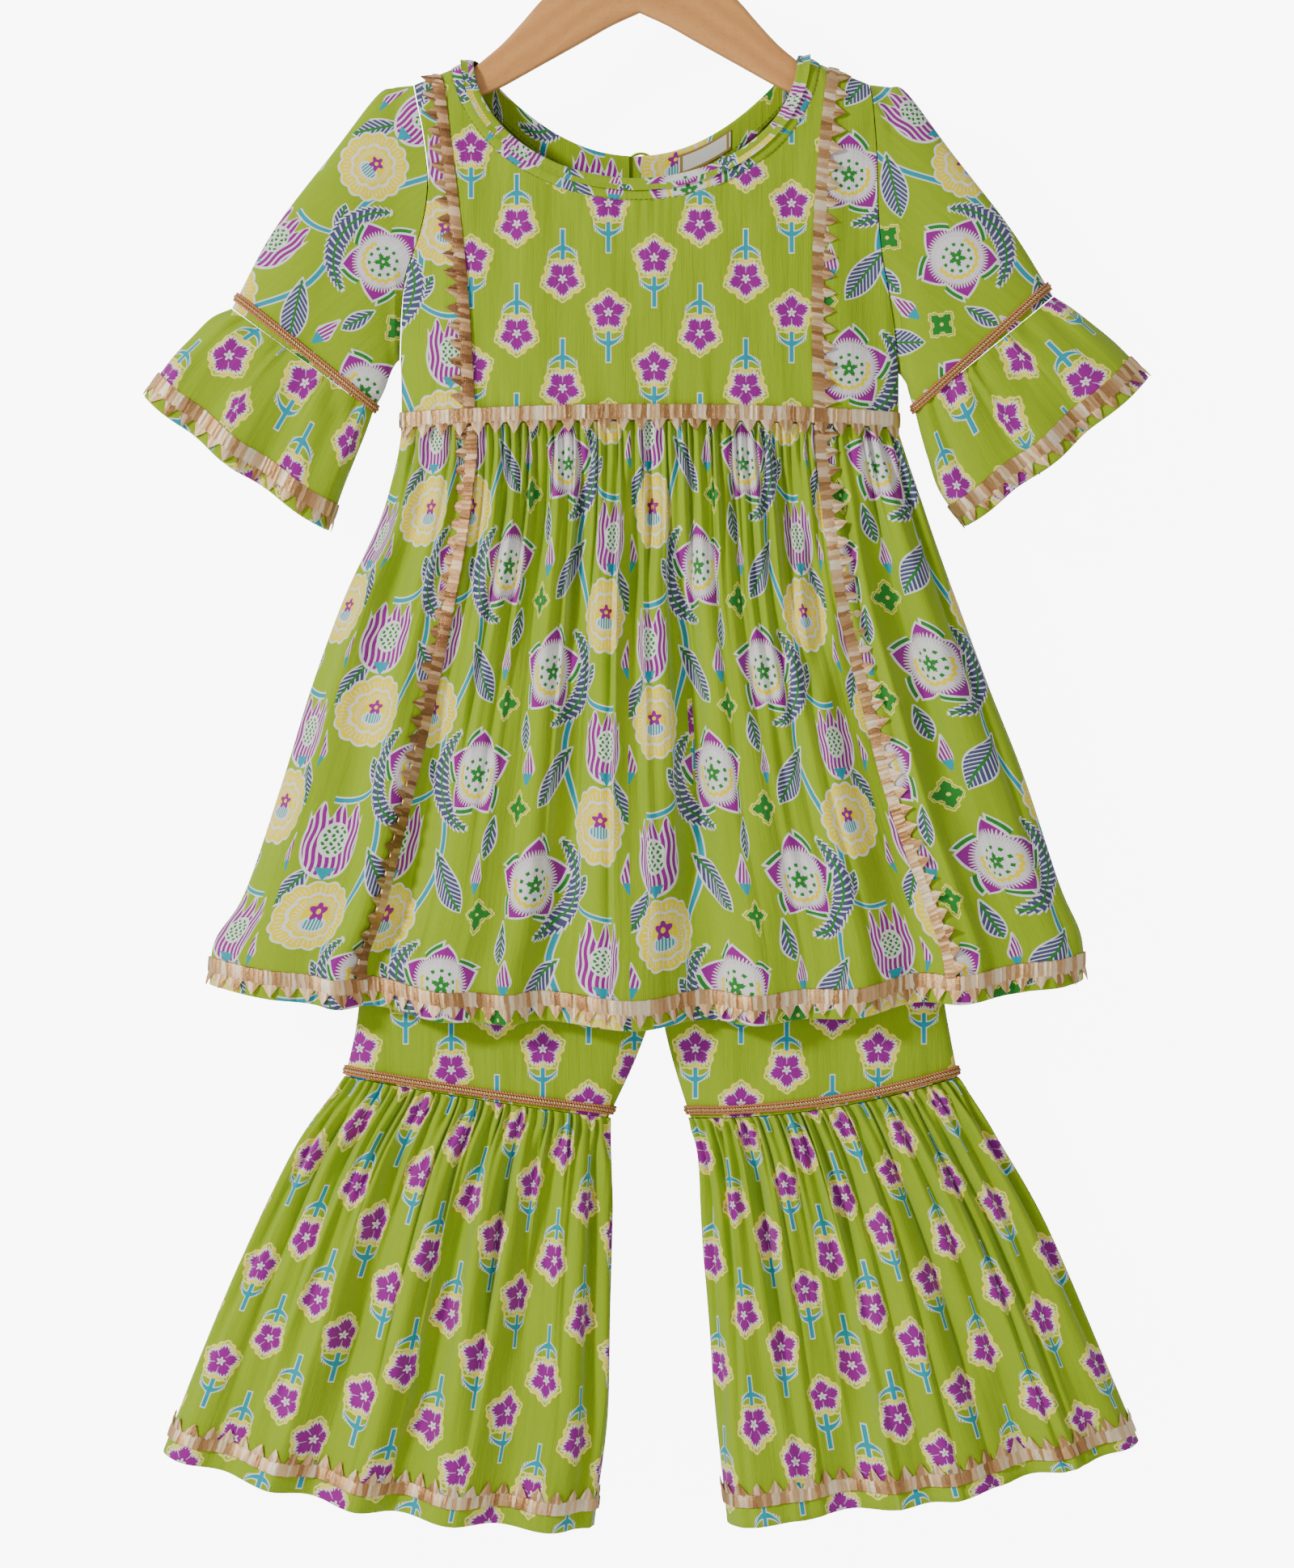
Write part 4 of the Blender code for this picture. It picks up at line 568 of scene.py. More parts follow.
def large_print(paint, across, down):
    column = (across / JAAL_COLUMN).math("FLOOR")
    odd = column.math("FLOORED_MODULO", 2.0)
    x = across - column * JAAL_COLUMN
    x = x + odd * (JAAL_COLUMN - x * 2.0)
    step = down + odd * (JAAL_PERIOD / 2)

    def local(centre_x, centre_y):
        """A place relative to a motif's middle, with y up the cloth."""
        return x - centre_x, -wrapped(step - centre_y, -JAAL_PERIOD / 2, JAAL_PERIOD / 2)

    wave = sine(step * (2 * math.pi / JAAL_PERIOD) + 0.6)
    stem_line(paint, x - 47.0 - wave * 7.0, 1.25)
    branch_x, branch_y = local(70.0, 48.0)
    bend = branch_y - power(abs(branch_x) / 22.0, 2.0) * 12.0
    paint.over((abs(bend) < 1.9) & (branch_x > -22.0) & (branch_x < 4.0), WHITE)
    paint.over((abs(bend) < 1.1) & (branch_x > -22.0) & (branch_x < 4.0), CYAN)
    leaf_x, leaf_y = local(33.0, 83.0)
    leaf_shape(paint, *turned(leaf_x, leaf_y, 52.0), 17.5, 6.4)
    leaf_x, leaf_y = local(82.0, 92.0)
    leaf_shape(paint, *turned(leaf_x, leaf_y, 118.0), 13.0, 4.8)
    leaf_x, leaf_y = local(55.0, 34.0)
    leaf_shape(paint, *turned(leaf_x, leaf_y, 235.0), 9.5, 3.6)
    leaf_x, leaf_y = local(8.0, 60.0)
    leaf_shape(paint, *turned(leaf_x, leaf_y, 100.0), 10.0, 3.8)
    bud_shape(paint, *local(14.0, 78.0))
    bud_shape(paint, *local(88.0, 24.0))
    # A feathery leaf that curls round the white flower
    flower_x, flower_y = local(24.0, 30.0)
    distance, angle = polar(flower_x, flower_y)
    along = wrapped(angle - 1.9, -math.pi, math.pi) / 1.15
    breadth = (1.0 - along * along) * 4.2
    teeth = wrapped(along * 11.0, 0.0, 1.0) * 1.5
    feather = abs(distance - 26.5)
    paint.over((feather < breadth + teeth + 0.9) & (abs(along) < 1.05), WHITE)
    paint.over((feather < breadth + teeth) & (abs(along) < 1.0), NAVY)
    paint.over((feather < breadth) & (sine(angle * 46.0 + distance * 0.9) > 0.6), WHITE)
    paint.over((feather < 0.6) & (abs(along) < 1.0), GREEN)
    yellow_flower(paint, *local(67.0, 2.0))
    striped_blossom(paint, *local(70.0, 66.0))
    quatrefoil(paint, *local(9.0, 98.0))
    white_flower(paint, flower_x, flower_y)


# Materials

def new_material(name):
    made = bpy.data.materials.new(name)
    made.use_nodes = True
    return made, made.node_tree, made.node_tree.nodes["Principled BSDF"]


def bump(tree, shader, height, strength, distance):
    node = tree.nodes.new("ShaderNodeBump")
    node.inputs["Strength"].default_value = strength
    node.inputs["Distance"].default_value = distance
    tree.links.new(height.value, node.inputs["Height"])
    tree.links.new(node.outputs[0], shader.inputs["Normal"])


def printed_cotton(name, draw):
    """Fine slub cotton in lime, with a print drawn over it."""
    made, tree, shader = new_material(name)
    across, down = cloth_place(tree)
    slubs = noise(tree, across * 1.6, down * 0.06)
    cloud = noise(tree, across * 0.035, down * 0.02)
    paint = Paint(tree, LIME)
    paint.over(slubs.math("MULTIPLY", cloud) * 1.1, LIME_DEEP)
    if draw:
        draw(paint, across, down)
    weave = sine(across * 7.4) * 0.5 + sine(down * 6.1) * 0.5
    worn = tree.nodes.new("ShaderNodeHueSaturation")
    tree.links.new(paint.socket, worn.inputs["Color"])
    tree.links.new((weave * 0.035 + slubs * 0.22 + 0.90).value, worn.inputs["Value"])
    tree.links.new(worn.outputs[0], shader.inputs["Base Color"])
    shader.inputs["Roughness"].default_value = 0.82
    shader.inputs["Sheen Weight"].default_value = 0.22
    shader.inputs["Sheen Roughness"].default_value = 0.5
    shader.inputs["Specular IOR Level"].default_value = 0.25
    crinkle = noise(tree, across * 0.22, down * 0.018, 3.0)
    height = crinkle * 1.1 + slubs * 0.30 + weave * 0.03
    bump(tree, shader, height, 0.75, 0.0010)
    return made


def plain_cotton(name):
    """The bound hem, in the ground colour."""
    return printed_cotton(name, None)


FACET = 2.5


def gold_ribbon(name, dark):
    """Crinkled metallic ribbon: its short facets are painted by turns in tones from dark shade to a white highlight,
    as if each caught the light.
    """
    made, tree, shader = new_material(name)
    along, across = cloth_place(tree)
    wobble = noise(tree, along * 0.35, across * 0.10)
    cell = (along / FACET + wobble * 1.6).math("FLOOR")
    cast = wrapped(sine(cell * 12.9898) * 43758.5453, 0.0, 1.0)
    threads = sine(across * 9.0) * 0.5 + 0.5
    strands = noise(tree, along * 3.2, across * 0.5)
    shade_and_glint = cast * 0.72 + strands * 0.28
    # Painted shade and highlight: the ramp gives each facet a tone from dark shade through gold to a near-white
    # highlight.
    ramp = tree.nodes.new("ShaderNodeValToRGB")
    stops = [(0.0, colour(122, 78, 40)), (0.26, colour(190, 140, 88)), (0.56, colour(232, 190, 136)),
             (1.0, colour(255, 247, 222))]
    # The dark copy is the same ribbon painted in shade throughout, for the laces on the left.
    if dark:
        stops = [(0.0, colour(104, 66, 36)), (0.36, colour(156, 110, 68)), (0.7, colour(202, 158, 110)),
                 (1.0, colour(244, 218, 178))]
    ramp.color_ramp.elements[0].position, ramp.color_ramp.elements[0].color = stops[0]
    ramp.color_ramp.elements[1].position, ramp.color_ramp.elements[1].color = stops[-1]
    for position, tint in stops[1:-1]:
        element = ramp.color_ramp.elements.new(position)
        element.color = tint
    tree.links.new(shade_and_glint.value, ramp.inputs[0])
    tree.links.new(ramp.outputs[0], shader.inputs["Base Color"])
    shader.inputs["Metallic"].default_value = 0.72
    tree.links.new((cast * 0.22 + 0.26).value, shader.inputs["Roughness"])
    bump(tree, shader, strands * 0.7 + threads * 0.2 + cast * 0.8, 0.6, 0.0004)
    return made


def braid(name, tint, metallic):
    made, tree, shader = new_material(name)
    along, across = cloth_place(tree)
    twist = sine(along * 4.2 + across * 2.0)
    paint = Paint(tree, tint)
    paint.over(twist * 0.5 + 0.3, tuple(0.45 * part for part in tint[:3]) + (1.0,))
    tree.links.new(paint.socket, shader.inputs["Base Color"])
    shader.inputs["Metallic"].default_value = metallic
    shader.inputs["Roughness"].default_value = 0.38
    bump(tree, shader, twist, 0.6, 0.0003)
    return made


def beech(name):
    """Varnished beech, its grain running along each arm."""
    made, tree, shader = new_material(name)
    across, down = cloth_place(tree)
    drift = noise(tree, across * 0.02, down * 0.02)
    rings = sine(down * 0.55 + drift * 9.0) * 0.5 + 0.5
    flecks = noise(tree, across * 0.25, down * 2.4)
    paint = Paint(tree, colour(232, 164, 92))
    paint.over(rings * 0.4, colour(206, 134, 70))
    paint.over((flecks > 0.60) * 0.28, colour(150, 96, 52))
    tree.links.new(paint.socket, shader.inputs["Base Color"])
    shader.inputs["Roughness"].default_value = 0.38
    shader.inputs["Coat Weight"].default_value = 0.35
    shader.inputs["Coat Roughness"].default_value = 0.18
    bump(tree, shader, flecks + rings * 0.5, 0.25, 0.0002)
    return made


def simple(name, tint, roughness, metallic=0.0, grain=0.0):
    """A plain surface with a fine grain."""
    made, tree, shader = new_material(name)
    across, down = cloth_place(tree)
    speck = noise(tree, across * 2.0, down * 2.0)
    paint = Paint(tree, tint)
    paint.over(speck * 0.35, tuple(part * 0.82 for part in tint[:3]) + (1.0,))
    tree.links.new(paint.socket, shader.inputs["Base Color"])
    shader.inputs["Roughness"].default_value = roughness
    shader.inputs["Metallic"].default_value = metallic
    if grain:
        bump(tree, shader, sine(across * 6.0) * 0.5 + sine(down * 6.0) * 0.5, grain, 0.0002)
    return made


MATERIALS = {
    "small": printed_cotton("cotton_small_print", small_print),
    "large": printed_cotton("cotton_large_print", large_print),
    "ground": plain_cotton("cotton_hem"),
    "ribbon": gold_ribbon("gold_ribbon", False),
    # The same ribbon again, painted darker as shade.
    "ribbon_shaded": gold_ribbon("gold_ribbon_shaded", True),
    "braid_gold": braid("braid_gold", colour(226, 184, 120), 0.7),
    "braid_peach": braid("braid_peach", colour(222, 140, 92), 0.15),
    "thread": braid("lime_thread", colour(120, 150, 40), 0.0),
    "knot": simple("knot_thread", colour(84, 48, 30), 0.8),
    "beech": beech("beech"),
    "steel": simple("hook_steel", colour(205, 205, 208), 0.18, 1.0),
    "tape": simple("tape", colour(238, 236, 228), 0.85, 0.0, 0.4),
    "border": simple("label_border", colour(168, 132, 60), 0.7, 0.0, 0.4),
    "button": simple("button", colour(150, 176, 60), 0.35),
}


# Numbers along tables

def mix(low, high, share):
    return low + (high - low) * share


def smooth(keys, values, place):
    """A smooth curve through the values at the keys, read at many places."""
    keys = np.asarray(keys, float)
    values = np.asarray(values, float)
    place = np.clip(np.asarray(place, float), keys[0], keys[-1])
    low = np.clip(np.searchsorted(keys, place, side="left") - 1, 0, len(keys) - 2)
    slopes = np.empty(len(keys))
    slopes[1:-1] = (values[2:] - values[:-2]) / (keys[2:] - keys[:-2])
    slopes[0] = (values[1] - values[0]) / (keys[1] - keys[0])
    slopes[-1] = (values[-1] - values[-2]) / (keys[-1] - keys[-2])
    width = keys[low + 1] - keys[low]
    share = (place - keys[low]) / width
    square = share * share
    cube = square * share
    return (values[low] * (2 * cube - 3 * square + 1) + slopes[low] * width * (cube - 2 * square + share)
            + values[low + 1] * (3 * square - 2 * cube) + slopes[low + 1] * width * (cube - square))


def column(table, name, place):
    return smooth([row[0] for row in table], [getattr(row, name) for row in table], place)


def row_between(table, place):
    """A whole row of a table, read between its numbered rows."""
    kind = type(table[0])
    keys = range(len(table))
    return kind(*[float(smooth(keys, [row[index] for row in table], place))
                  for index in range(len(kind._fields))])


def level(drop):
    return -HOOK_TO_SHOULDER - drop


def flattened(share):
    return np.maximum(0.0, 1.0 - np.abs(share) ** ROUNDNESS) ** (1.0 / ROUNDNESS)


def eased(share):
    share = np.clip(share, 0.0, 1.0)
    return share * share * (3 - 2 * share)


# Surfaces

class Surface:
    """A grid of points of cloth, with its places on the flat cloth, all in millimetres."""

    def __init__(self, points, across, down, side=None, outward=None):
        self.points = points
        self.across = np.broadcast_to(across, points.shape[:2])
        self.down = np.broadcast_to(np.asarray(down)[:, None] if np.ndim(down) == 1 else down, points.shape[:2])
        rows = np.gradient(points, axis=0)
        steps = np.gradient(points, axis=1)
        normals = np.cross(steps, rows)
        normals /= np.linalg.norm(normals, axis=2, keepdims=True) + 1e-9
        if outward is None:
            facing = normals[..., 1].mean() * side
        else:
            facing = (normals * outward).sum(axis=2).mean()
        self.flip = facing < 0
        self.normals = -normals if self.flip else normals

    def raised(self, heights):
        """The same cloth with its points moved out by heights."""
        return Surface(self.points + self.normals * heights[..., None], self.across, self.down,
                       outward=self.normals)

    def at(self, row, step):
        """Points and normals at fractional rows and columns of the grid."""
        rows, steps = self.points.shape[:2]
        row = np.clip(row, 0, rows - 1.001)
        step = np.clip(step, 0, steps - 1.001)
        low_row, low_step = row.astype(int), step.astype(int)
        part_row, part_step = (row - low_row)[:, None], (step - low_step)[:, None]
        result = []
        for grid in (self.points, self.normals):
            near = mix(grid[low_row, low_step], grid[low_row, low_step + 1], part_step)
            far = mix(grid[low_row + 1, low_step], grid[low_row + 1, low_step + 1], part_step)
            result.append(mix(near, far, part_row))
        result[1] /= np.linalg.norm(result[1], axis=1, keepdims=True) + 1e-9
        return result


def mesh_object(name, points, faces, places, material, smooth_angle=None):
    """An object from points in millimetres, with the flat cloth's places as its UV map in metres."""
    mesh = bpy.data.meshes.new(name)
    mesh.from_pydata((np.asarray(points) * MM).tolist(), [], np.asarray(faces).tolist()
                     if not isinstance(faces, list) else faces)
    layer = mesh.uv_layers.new(name="flat")
    corners = np.empty(len(mesh.loops), int)
    mesh.loops.foreach_get("vertex_index", corners)
    layer.data.foreach_set("uv", (np.asarray(places)[corners] * MM).ravel())
    mesh.shade_smooth()
    if smooth_angle:
        mesh.set_sharp_from_angle(angle=math.radians(smooth_angle))
    mesh.materials.append(MATERIALS[material])
    thing = bpy.data.objects.new(name, mesh)
    bpy.context.scene.collection.objects.link(thing)
    return thing


def grid_faces(rows, steps, flip=False):
    index = np.arange(rows * steps).reshape(rows, steps)
    low, after = index[:-1, :-1].ravel(), index[:-1, 1:].ravel()
    under, far = index[1:, :-1].ravel(), index[1:, 1:].ravel()
    faces = np.stack([low, under, far, after], axis=1)
    return faces[:, ::-1] if flip else faces


def show(thing, nodes=()):
    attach(thing, "root")
    if nodes:
        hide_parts(*nodes)
    return thing


HEM_TURN = 7.0
HEM_FOLD = 0.9


def turned_under(surface, edge):
    """The rows or columns that a folded edge adds behind the cloth."""
    points, normals = surface.points, surface.normals
    if edge == "foot":
        tip, inner, depth, up = points[-1], points[-2], normals[-1], points[-1] - points[-2]
    else:
        tip, inner, depth, up = points[0], points[1], normals[0], points[0] - points[1]
    up = up / (np.linalg.norm(up, axis=1, keepdims=True) + 1e-9)
    first = tip + up * 0.4 - depth * HEM_FOLD * 0.5
    second = tip - depth * HEM_FOLD
    third = tip - up * HEM_TURN - depth * HEM_FOLD * 1.1
    return [first, second, third]


def cloth(name, surface, material, node, rests_on, foot=True, head=False):
    """A piece of cloth from a surface, with its foot or head folded under."""
    points = surface.points
    across, down = surface.across, surface.down
    if foot:
        extra = turned_under(surface, "foot")
        points = np.concatenate([points] + [row[None] for row in extra])
        across = np.concatenate([across] + [across[-1:]] * 3)
        down = np.concatenate([down, down[-1:] + 0.6, down[-1:] + 1.2, down[-1:] + HEM_TURN])
    if head:
        extra = turned_under(surface, "head")
        points = np.concatenate([row[None] for row in reversed(extra)] + [points])
        across = np.concatenate([across[:1]] * 3 + [across])
        down = np.concatenate([down[:1] - HEM_TURN, down[:1] - 1.2, down[:1] - 0.6, down])
    rows, steps = points.shape[:2]
    places = np.stack([across, down], axis=2)
    thing = mesh_object(name, points.reshape(-1, 3), grid_faces(rows, steps, not surface.flip),
                        places.reshape(-1, 2), material)
    show(thing, node if isinstance(node, tuple) else (node,))
    width, length, area = cut_of(points)
    return thing


def cut_of(points):
    """The width, length and area in metres of the flat cloth that a grid of points is made from."""
    spans = np.linalg.norm(np.diff(points, axis=1), axis=2).sum(axis=1) * MM
    drops = np.linalg.norm(np.diff(points, axis=0), axis=2).sum(axis=0) * MM
    low, after, under = points[:-1, :-1], points[:-1, 1:], points[1:, :-1]
    area = np.linalg.norm(np.cross(after - low, under - low), axis=2).sum() * MM * MM
    return float(spans.max()), float(drops.max()), float(area)


# The bodice's shape

def shoulder_drop(x):
    x = np.asarray(x, float)
    slope, left_drop, right_drop = 0.416, 2.2, -0.9
    left, right = NECK_CENTRE - NECK_HALF_WIDTH, NECK_CENTRE + NECK_HALF_WIDTH
    inner = mix(left_drop, right_drop, np.clip((x - left) / (right - left), 0.0, 1.0))
    return inner + np.maximum(left - x, 0.0) * slope + np.maximum(x - right, 0.0) * slope


def body_points(x, drop, side):
    """Points of the bodice, rolled over the hanger at the shoulder."""
    x, drop = np.broadcast_arrays(np.asarray(x, float), np.asarray(drop, float))
    centre = column(BODY, "centre", drop)
    half_width = column(BODY, "half_width", drop)
    depth = column(BODY, "depth", drop) * flattened((x - centre) / half_width)
    below = np.clip(drop - shoulder_drop(x), 0.0, SHOULDER_RADIUS)
    roll = np.sqrt(1.0 - (1.0 - below / SHOULDER_RADIUS) ** 2)
    return np.stack([x, side * (SEAM + depth * roll), level(drop)], axis=-1)


def waist_drop(x):
    middle = BODY[-1]
    across = (np.asarray(x, float) - middle.centre) / middle.half_width
    return WAIST_DROP - WAIST_RISE * (1.0 - across * across)


def neck_point(share, half_width, depth):
    angle = math.pi * np.asarray(share, float)
    x = NECK_CENTRE - half_width * np.cos(angle)
    return x, np.maximum(depth * np.sin(angle), shoulder_drop(x))


def back_neck_drop(x):
    across = np.clip((x - NECK_CENTRE) / NECK_HALF_WIDTH, -1.0, 1.0)
    return np.maximum(BACK_NECK_DEPTH * (1.0 - np.abs(across) ** 2.05), shoulder_drop(x))


def soft_waves(x, drop, seed, pitch, stretch):
    """Soft random folds that run mostly down the cloth, about 1 high."""
    rng = np.random.default_rng(seed)
    total = np.zeros(np.broadcast(x, drop).shape)
    for _ in range(7):
        width = pitch * rng.uniform(0.6, 1.8)
        lean = rng.uniform(-0.25, 0.25)
        phase, beat = rng.uniform(0, 6.28, 2)
        fade = 0.5 + 0.5 * np.sin(drop / (stretch * rng.uniform(0.7, 1.4)) + beat)
        total = total + np.sin((x + lean * drop) * 2 * math.pi / width + phase) * fade
    return total / 3.0


def bodice_relief(x, drop, side):
    """Wrinkles of the bodice: soft all over, with small tucks under the neck and over the waist."""
    height = 1.0 * soft_waves(x, drop, 3 if side == FRONT else 4, 30.0, 60.0)
    waist = np.exp(-((WAIST_DROP - drop) / 22.0) ** 2)
    height = height + 0.55 * waist * np.cos(x * 2 * math.pi / 8.7) * (0.5 + 0.5 * np.sin(x / 19.0))
    if side == FRONT:
        tucks = np.exp(-((x - NECK_CENTRE) / 30.0) ** 2) * np.exp(-np.maximum(drop - 78.0, 0.0) / 16.0)
        height = height + 0.8 * tucks * np.cos((x - NECK_CENTRE) * 2 * math.pi / 6.1)
    edge = np.minimum(1.0, np.maximum(0.0, drop - shoulder_drop(x) - 6.0) / 14.0)
    return height * edge


def bodice_surface(x, drop, side, lift=0.0, relief=True):
    base = Surface(body_points(x, drop, side), x, drop, side=side)
    heights = lift + (bodice_relief(x, drop, side) if relief else 0.0)
    return base.raised(np.broadcast_to(heights, base.points.shape[:2]))


def down_shares(count, crowd=1.6):
    """Shares down a panel, closer together near its top."""
    return np.linspace(0.0, 1.0, count) ** crowd


def front_side_surface(armhole, lace, direction, lace_top_x, lift=0.0):
    shares = down_shares(90)[:, None]
    across = np.linspace(0.0, 1.0, 26)[None, :]
    lace_top = float(shoulder_drop(lace_top_x))
    outer_drop = mix(armhole[0].drop, WAIST_DROP, shares)
    lace_drop = mix(lace_top, float(waist_drop(lace[-1].x)), shares)
    side = column(BODY, "centre", outer_drop) + direction * column(BODY, "half_width", outer_drop)
    outer = np.where(outer_drop < armhole[-1].drop, column(armhole, "x", outer_drop), side)
    inner = column(lace, "x", lace_drop)
    x = mix(outer, inner, across)
    drop = np.maximum(mix(outer_drop, lace_drop, across), shoulder_drop(x))
    drop = np.where(shares == 1.0, waist_drop(x), drop)
    return bodice_surface(x, drop, FRONT, lift)


def front_centre_surface():
    shares = down_shares(100)[:, None]
    steps = np.linspace(0.0, 1.0, 121)
    left_top = float(column(LEFT_LACE, "x", shoulder_drop(-108.0)))
    right_top = float(column(RIGHT_LACE, "x", shoulder_drop(103.0)))
    neck_x, neck_drop = neck_point(np.linspace(0.0, 1.0, 161), NECK_HALF_WIDTH + BAND_WIDTH,
                                   FRONT_NECK_DEPTH + BAND_WIDTH)
    outline_x = np.concatenate([[left_top], neck_x, [right_top]])
    outline_drop = np.concatenate([[float(shoulder_drop(left_top))], neck_drop, [float(shoulder_drop(right_top))]])
    lengths = np.concatenate([[0.0], np.cumsum(np.abs(np.diff(outline_x)) + 0.3 * np.abs(np.diff(outline_drop)))])
    steps = steps * lengths[-1]
    top_x = np.interp(steps, lengths, outline_x)[None, :]
    top_drop = np.interp(steps, lengths, outline_drop)[None, :]
    across = (steps / lengths[-1])[None, :]
    low_x = mix(LEFT_LACE[-1].x, RIGHT_LACE[-1].x, across)
    drop = mix(top_drop, waist_drop(low_x), shares)
    x = mix(top_x, low_x, shares)
    left_drop = mix(float(shoulder_drop(-108.0)), float(waist_drop(LEFT_LACE[-1].x)), shares)
    right_drop = mix(float(shoulder_drop(103.0)), float(waist_drop(RIGHT_LACE[-1].x)), shares)
    left_bulge = column(LEFT_LACE, "x", left_drop) - mix(left_top, LEFT_LACE[-1].x, shares)
    right_bulge = column(RIGHT_LACE, "x", right_drop) - mix(right_top, RIGHT_LACE[-1].x, shares)
    x = x + left_bulge * np.maximum(0.0, 1.0 - 6 * across) + right_bulge * np.maximum(0.0, 6 * across - 5.0)
    return bodice_surface(x, np.maximum(drop, shoulder_drop(x)), FRONT)


def neck_band_surface():
    widths = np.array([-0.02, 0.03, 0.12, 0.3, 0.5, 0.7, 0.88, 0.97, 1.01])[:, None]
    share = np.linspace(0.0, 1.0, 181)[None, :]
    extra = BAND_WIDTH * widths
    x, drop = neck_point(share, NECK_HALF_WIDTH + extra, FRONT_NECK_DEPTH + extra)
    puff = 0.9 * np.sqrt(np.clip(1.0 - (2 * widths - 1.0) ** 2, 0.0, 1.0))
    base = Surface(body_points(x, drop, FRONT), x, drop, side=FRONT)
    made = base.raised(np.broadcast_to(0.1 + puff, x.shape))
    return Surface(made.points, share * 285.0 + 30.0, 20.0 + extra * np.ones_like(x), outward=made.normals)


def back_surface(lift=0.0):
    shares = down_shares(80)[:, None]
    left_tip, right_tip = LEFT_ARMHOLE[0].x, RIGHT_ARMHOLE[0].x
    top_x = mix(left_tip, right_tip, np.linspace(0.0, 1.0, 141))[None, :]
    top_drop = back_neck_drop(top_x)
    across = (top_x - left_tip) / (right_tip - left_tip)
    low_left = BODY[-1].centre - BODY[-1].half_width
    low_right = BODY[-1].centre + BODY[-1].half_width
    low_x = mix(low_left, low_right, across)
    drop = mix(top_drop, waist_drop(low_x), shares)
    x = mix(top_x, low_x, shares)
    left_drop = mix(LEFT_ARMHOLE[0].drop, WAIST_DROP, shares)
    right_drop = mix(RIGHT_ARMHOLE[0].drop, WAIST_DROP, shares)
    left_x = np.where(left_drop < LEFT_ARMHOLE[-1].drop, column(LEFT_ARMHOLE, "x", left_drop), low_left)
    right_x = np.where(right_drop < RIGHT_ARMHOLE[-1].drop, column(RIGHT_ARMHOLE, "x", right_drop), low_right)
    x = x + (left_x - mix(left_tip, low_left, shares)) * np.maximum(0.0, 1.0 - 4 * across)
    x = x + (right_x - mix(right_tip, low_right, shares)) * np.maximum(0.0, 4 * across - 3.0)
    drop = np.maximum(drop, shoulder_drop(x))
    middle = x - NECK_CENTRE
    inside = eased((shares - 0.04) / 0.05) * eased((0.34 - shares) / 0.08)
    opening = 3.2 * inside
    push = np.sign(middle) * opening * np.exp(-np.abs(middle) / 9.0)
    return bodice_surface(x + push, drop, BACK, lift)


# Gathered cloth

def half_loop(section, side, shares):
    """Points, normals and the way down of a flattened loop's front or back, at shares of its length."""
    start = np.array([section.left, 0.0, level(section.left_drop)])
    end = np.array([section.right, 0.0, level(section.right_drop)])
    reach = np.linalg.norm(end - start) / 2
    along = (end - start) / (2 * reach)
    down = np.array([along[2], 0.0, -along[0]])
    out = np.array([0.0, float(side), 0.0])
    angle = np.linspace(0.0, math.pi, 361)
    cosines, sines = np.cos(angle), np.maximum(np.sin(angle), 0.0)
    place = -np.sign(cosines) * np.abs(cosines) ** (2 / ROUNDNESS)
    bulge = sines ** (2 / ROUNDNESS)
    steps = np.hypot(np.diff(place) * reach, np.diff(bulge) * section.depth)
    lengths = np.concatenate([[0.0], np.cumsum(steps)])
    target = np.clip(shares, 0.0, 1.0) * lengths[-1]
    here, high = np.interp(target, lengths, place), np.interp(target, lengths, bulge)
    middles = (lengths[1:] + lengths[:-1]) / 2
    run = np.interp(target, middles, np.diff(place) * reach / (steps + 1e-9))
    rise = np.interp(target, middles, np.diff(bulge) * section.depth / (steps + 1e-9))
    normals = along * -rise[:, None] + out * run[:, None]
    normals /= np.linalg.norm(normals, axis=1, keepdims=True) + 1e-9
    points = (start + end) / 2 + along * (here * reach)[:, None]
    points = points + out * (SEAM / 2 + high * section.depth)[:, None]
    points = points + down * (section.bow * (1.0 - here ** 2))[:, None]
    return points, normals, down


def share_at(section, across):
    """The share of a half loop's length at a share of its straight width."""
    shares = np.linspace(0.0, 1.0, 401)
    points, _, _ = half_loop(section, FRONT, shares)
    start, end = np.array([section.left, level(section.left_drop)]), np.array([section.right, level(section.right_drop)])
    along = (end - start) / np.linalg.norm(end - start) ** 2
    places = (points[:, [0, 2]] - start) @ along
    return float(np.interp(across, places, shares))


def fold_height(folds, place):
    keys = [fold.place for fold in folds]
    heights = np.array([fold.height for fold in folds])
    low = np.clip(np.searchsorted(keys, place, side="left") - 1, 0, len(keys) - 2)
    keys = np.array(keys)
    share = (place - keys[low]) / (keys[low + 1] - keys[low])
    return mix(heights[low], heights[low + 1], (1 - np.cos(math.pi * share)) / 2)


def gather_share(gather, count):
    wobble = 0.25 * np.sin(2.4 * gather) * np.sin(math.pi * gather / count)
    return (gather + wobble) / count


def creases(table, share, below, width_mm):
    """Deep narrow folds at their places down a panel, with a soft ridge beside each."""
    total = np.zeros(np.broadcast(share, below).shape)
    for item in table:
        run = (below - item.start) / (item.end - item.start)
        centre = mix(item.top, item.foot, np.clip(run, 0.0, 1.0)) + 0.006 * np.sin(below * 9.0 + item.top * 40)
        fade = eased(run * 5.0) * eased((1.0 - run) * 3.0)
        offset = (share - centre) * width_mm / item.width
        total -= item.depth * fade * np.exp(-offset ** 2)
        total += 0.45 * item.depth * fade * np.exp(-(offset - 1.5) ** 2 / 1.2)
        total += 0.35 * item.depth * fade * np.exp(-(offset + 1.6) ** 2 / 1.4)
    return total


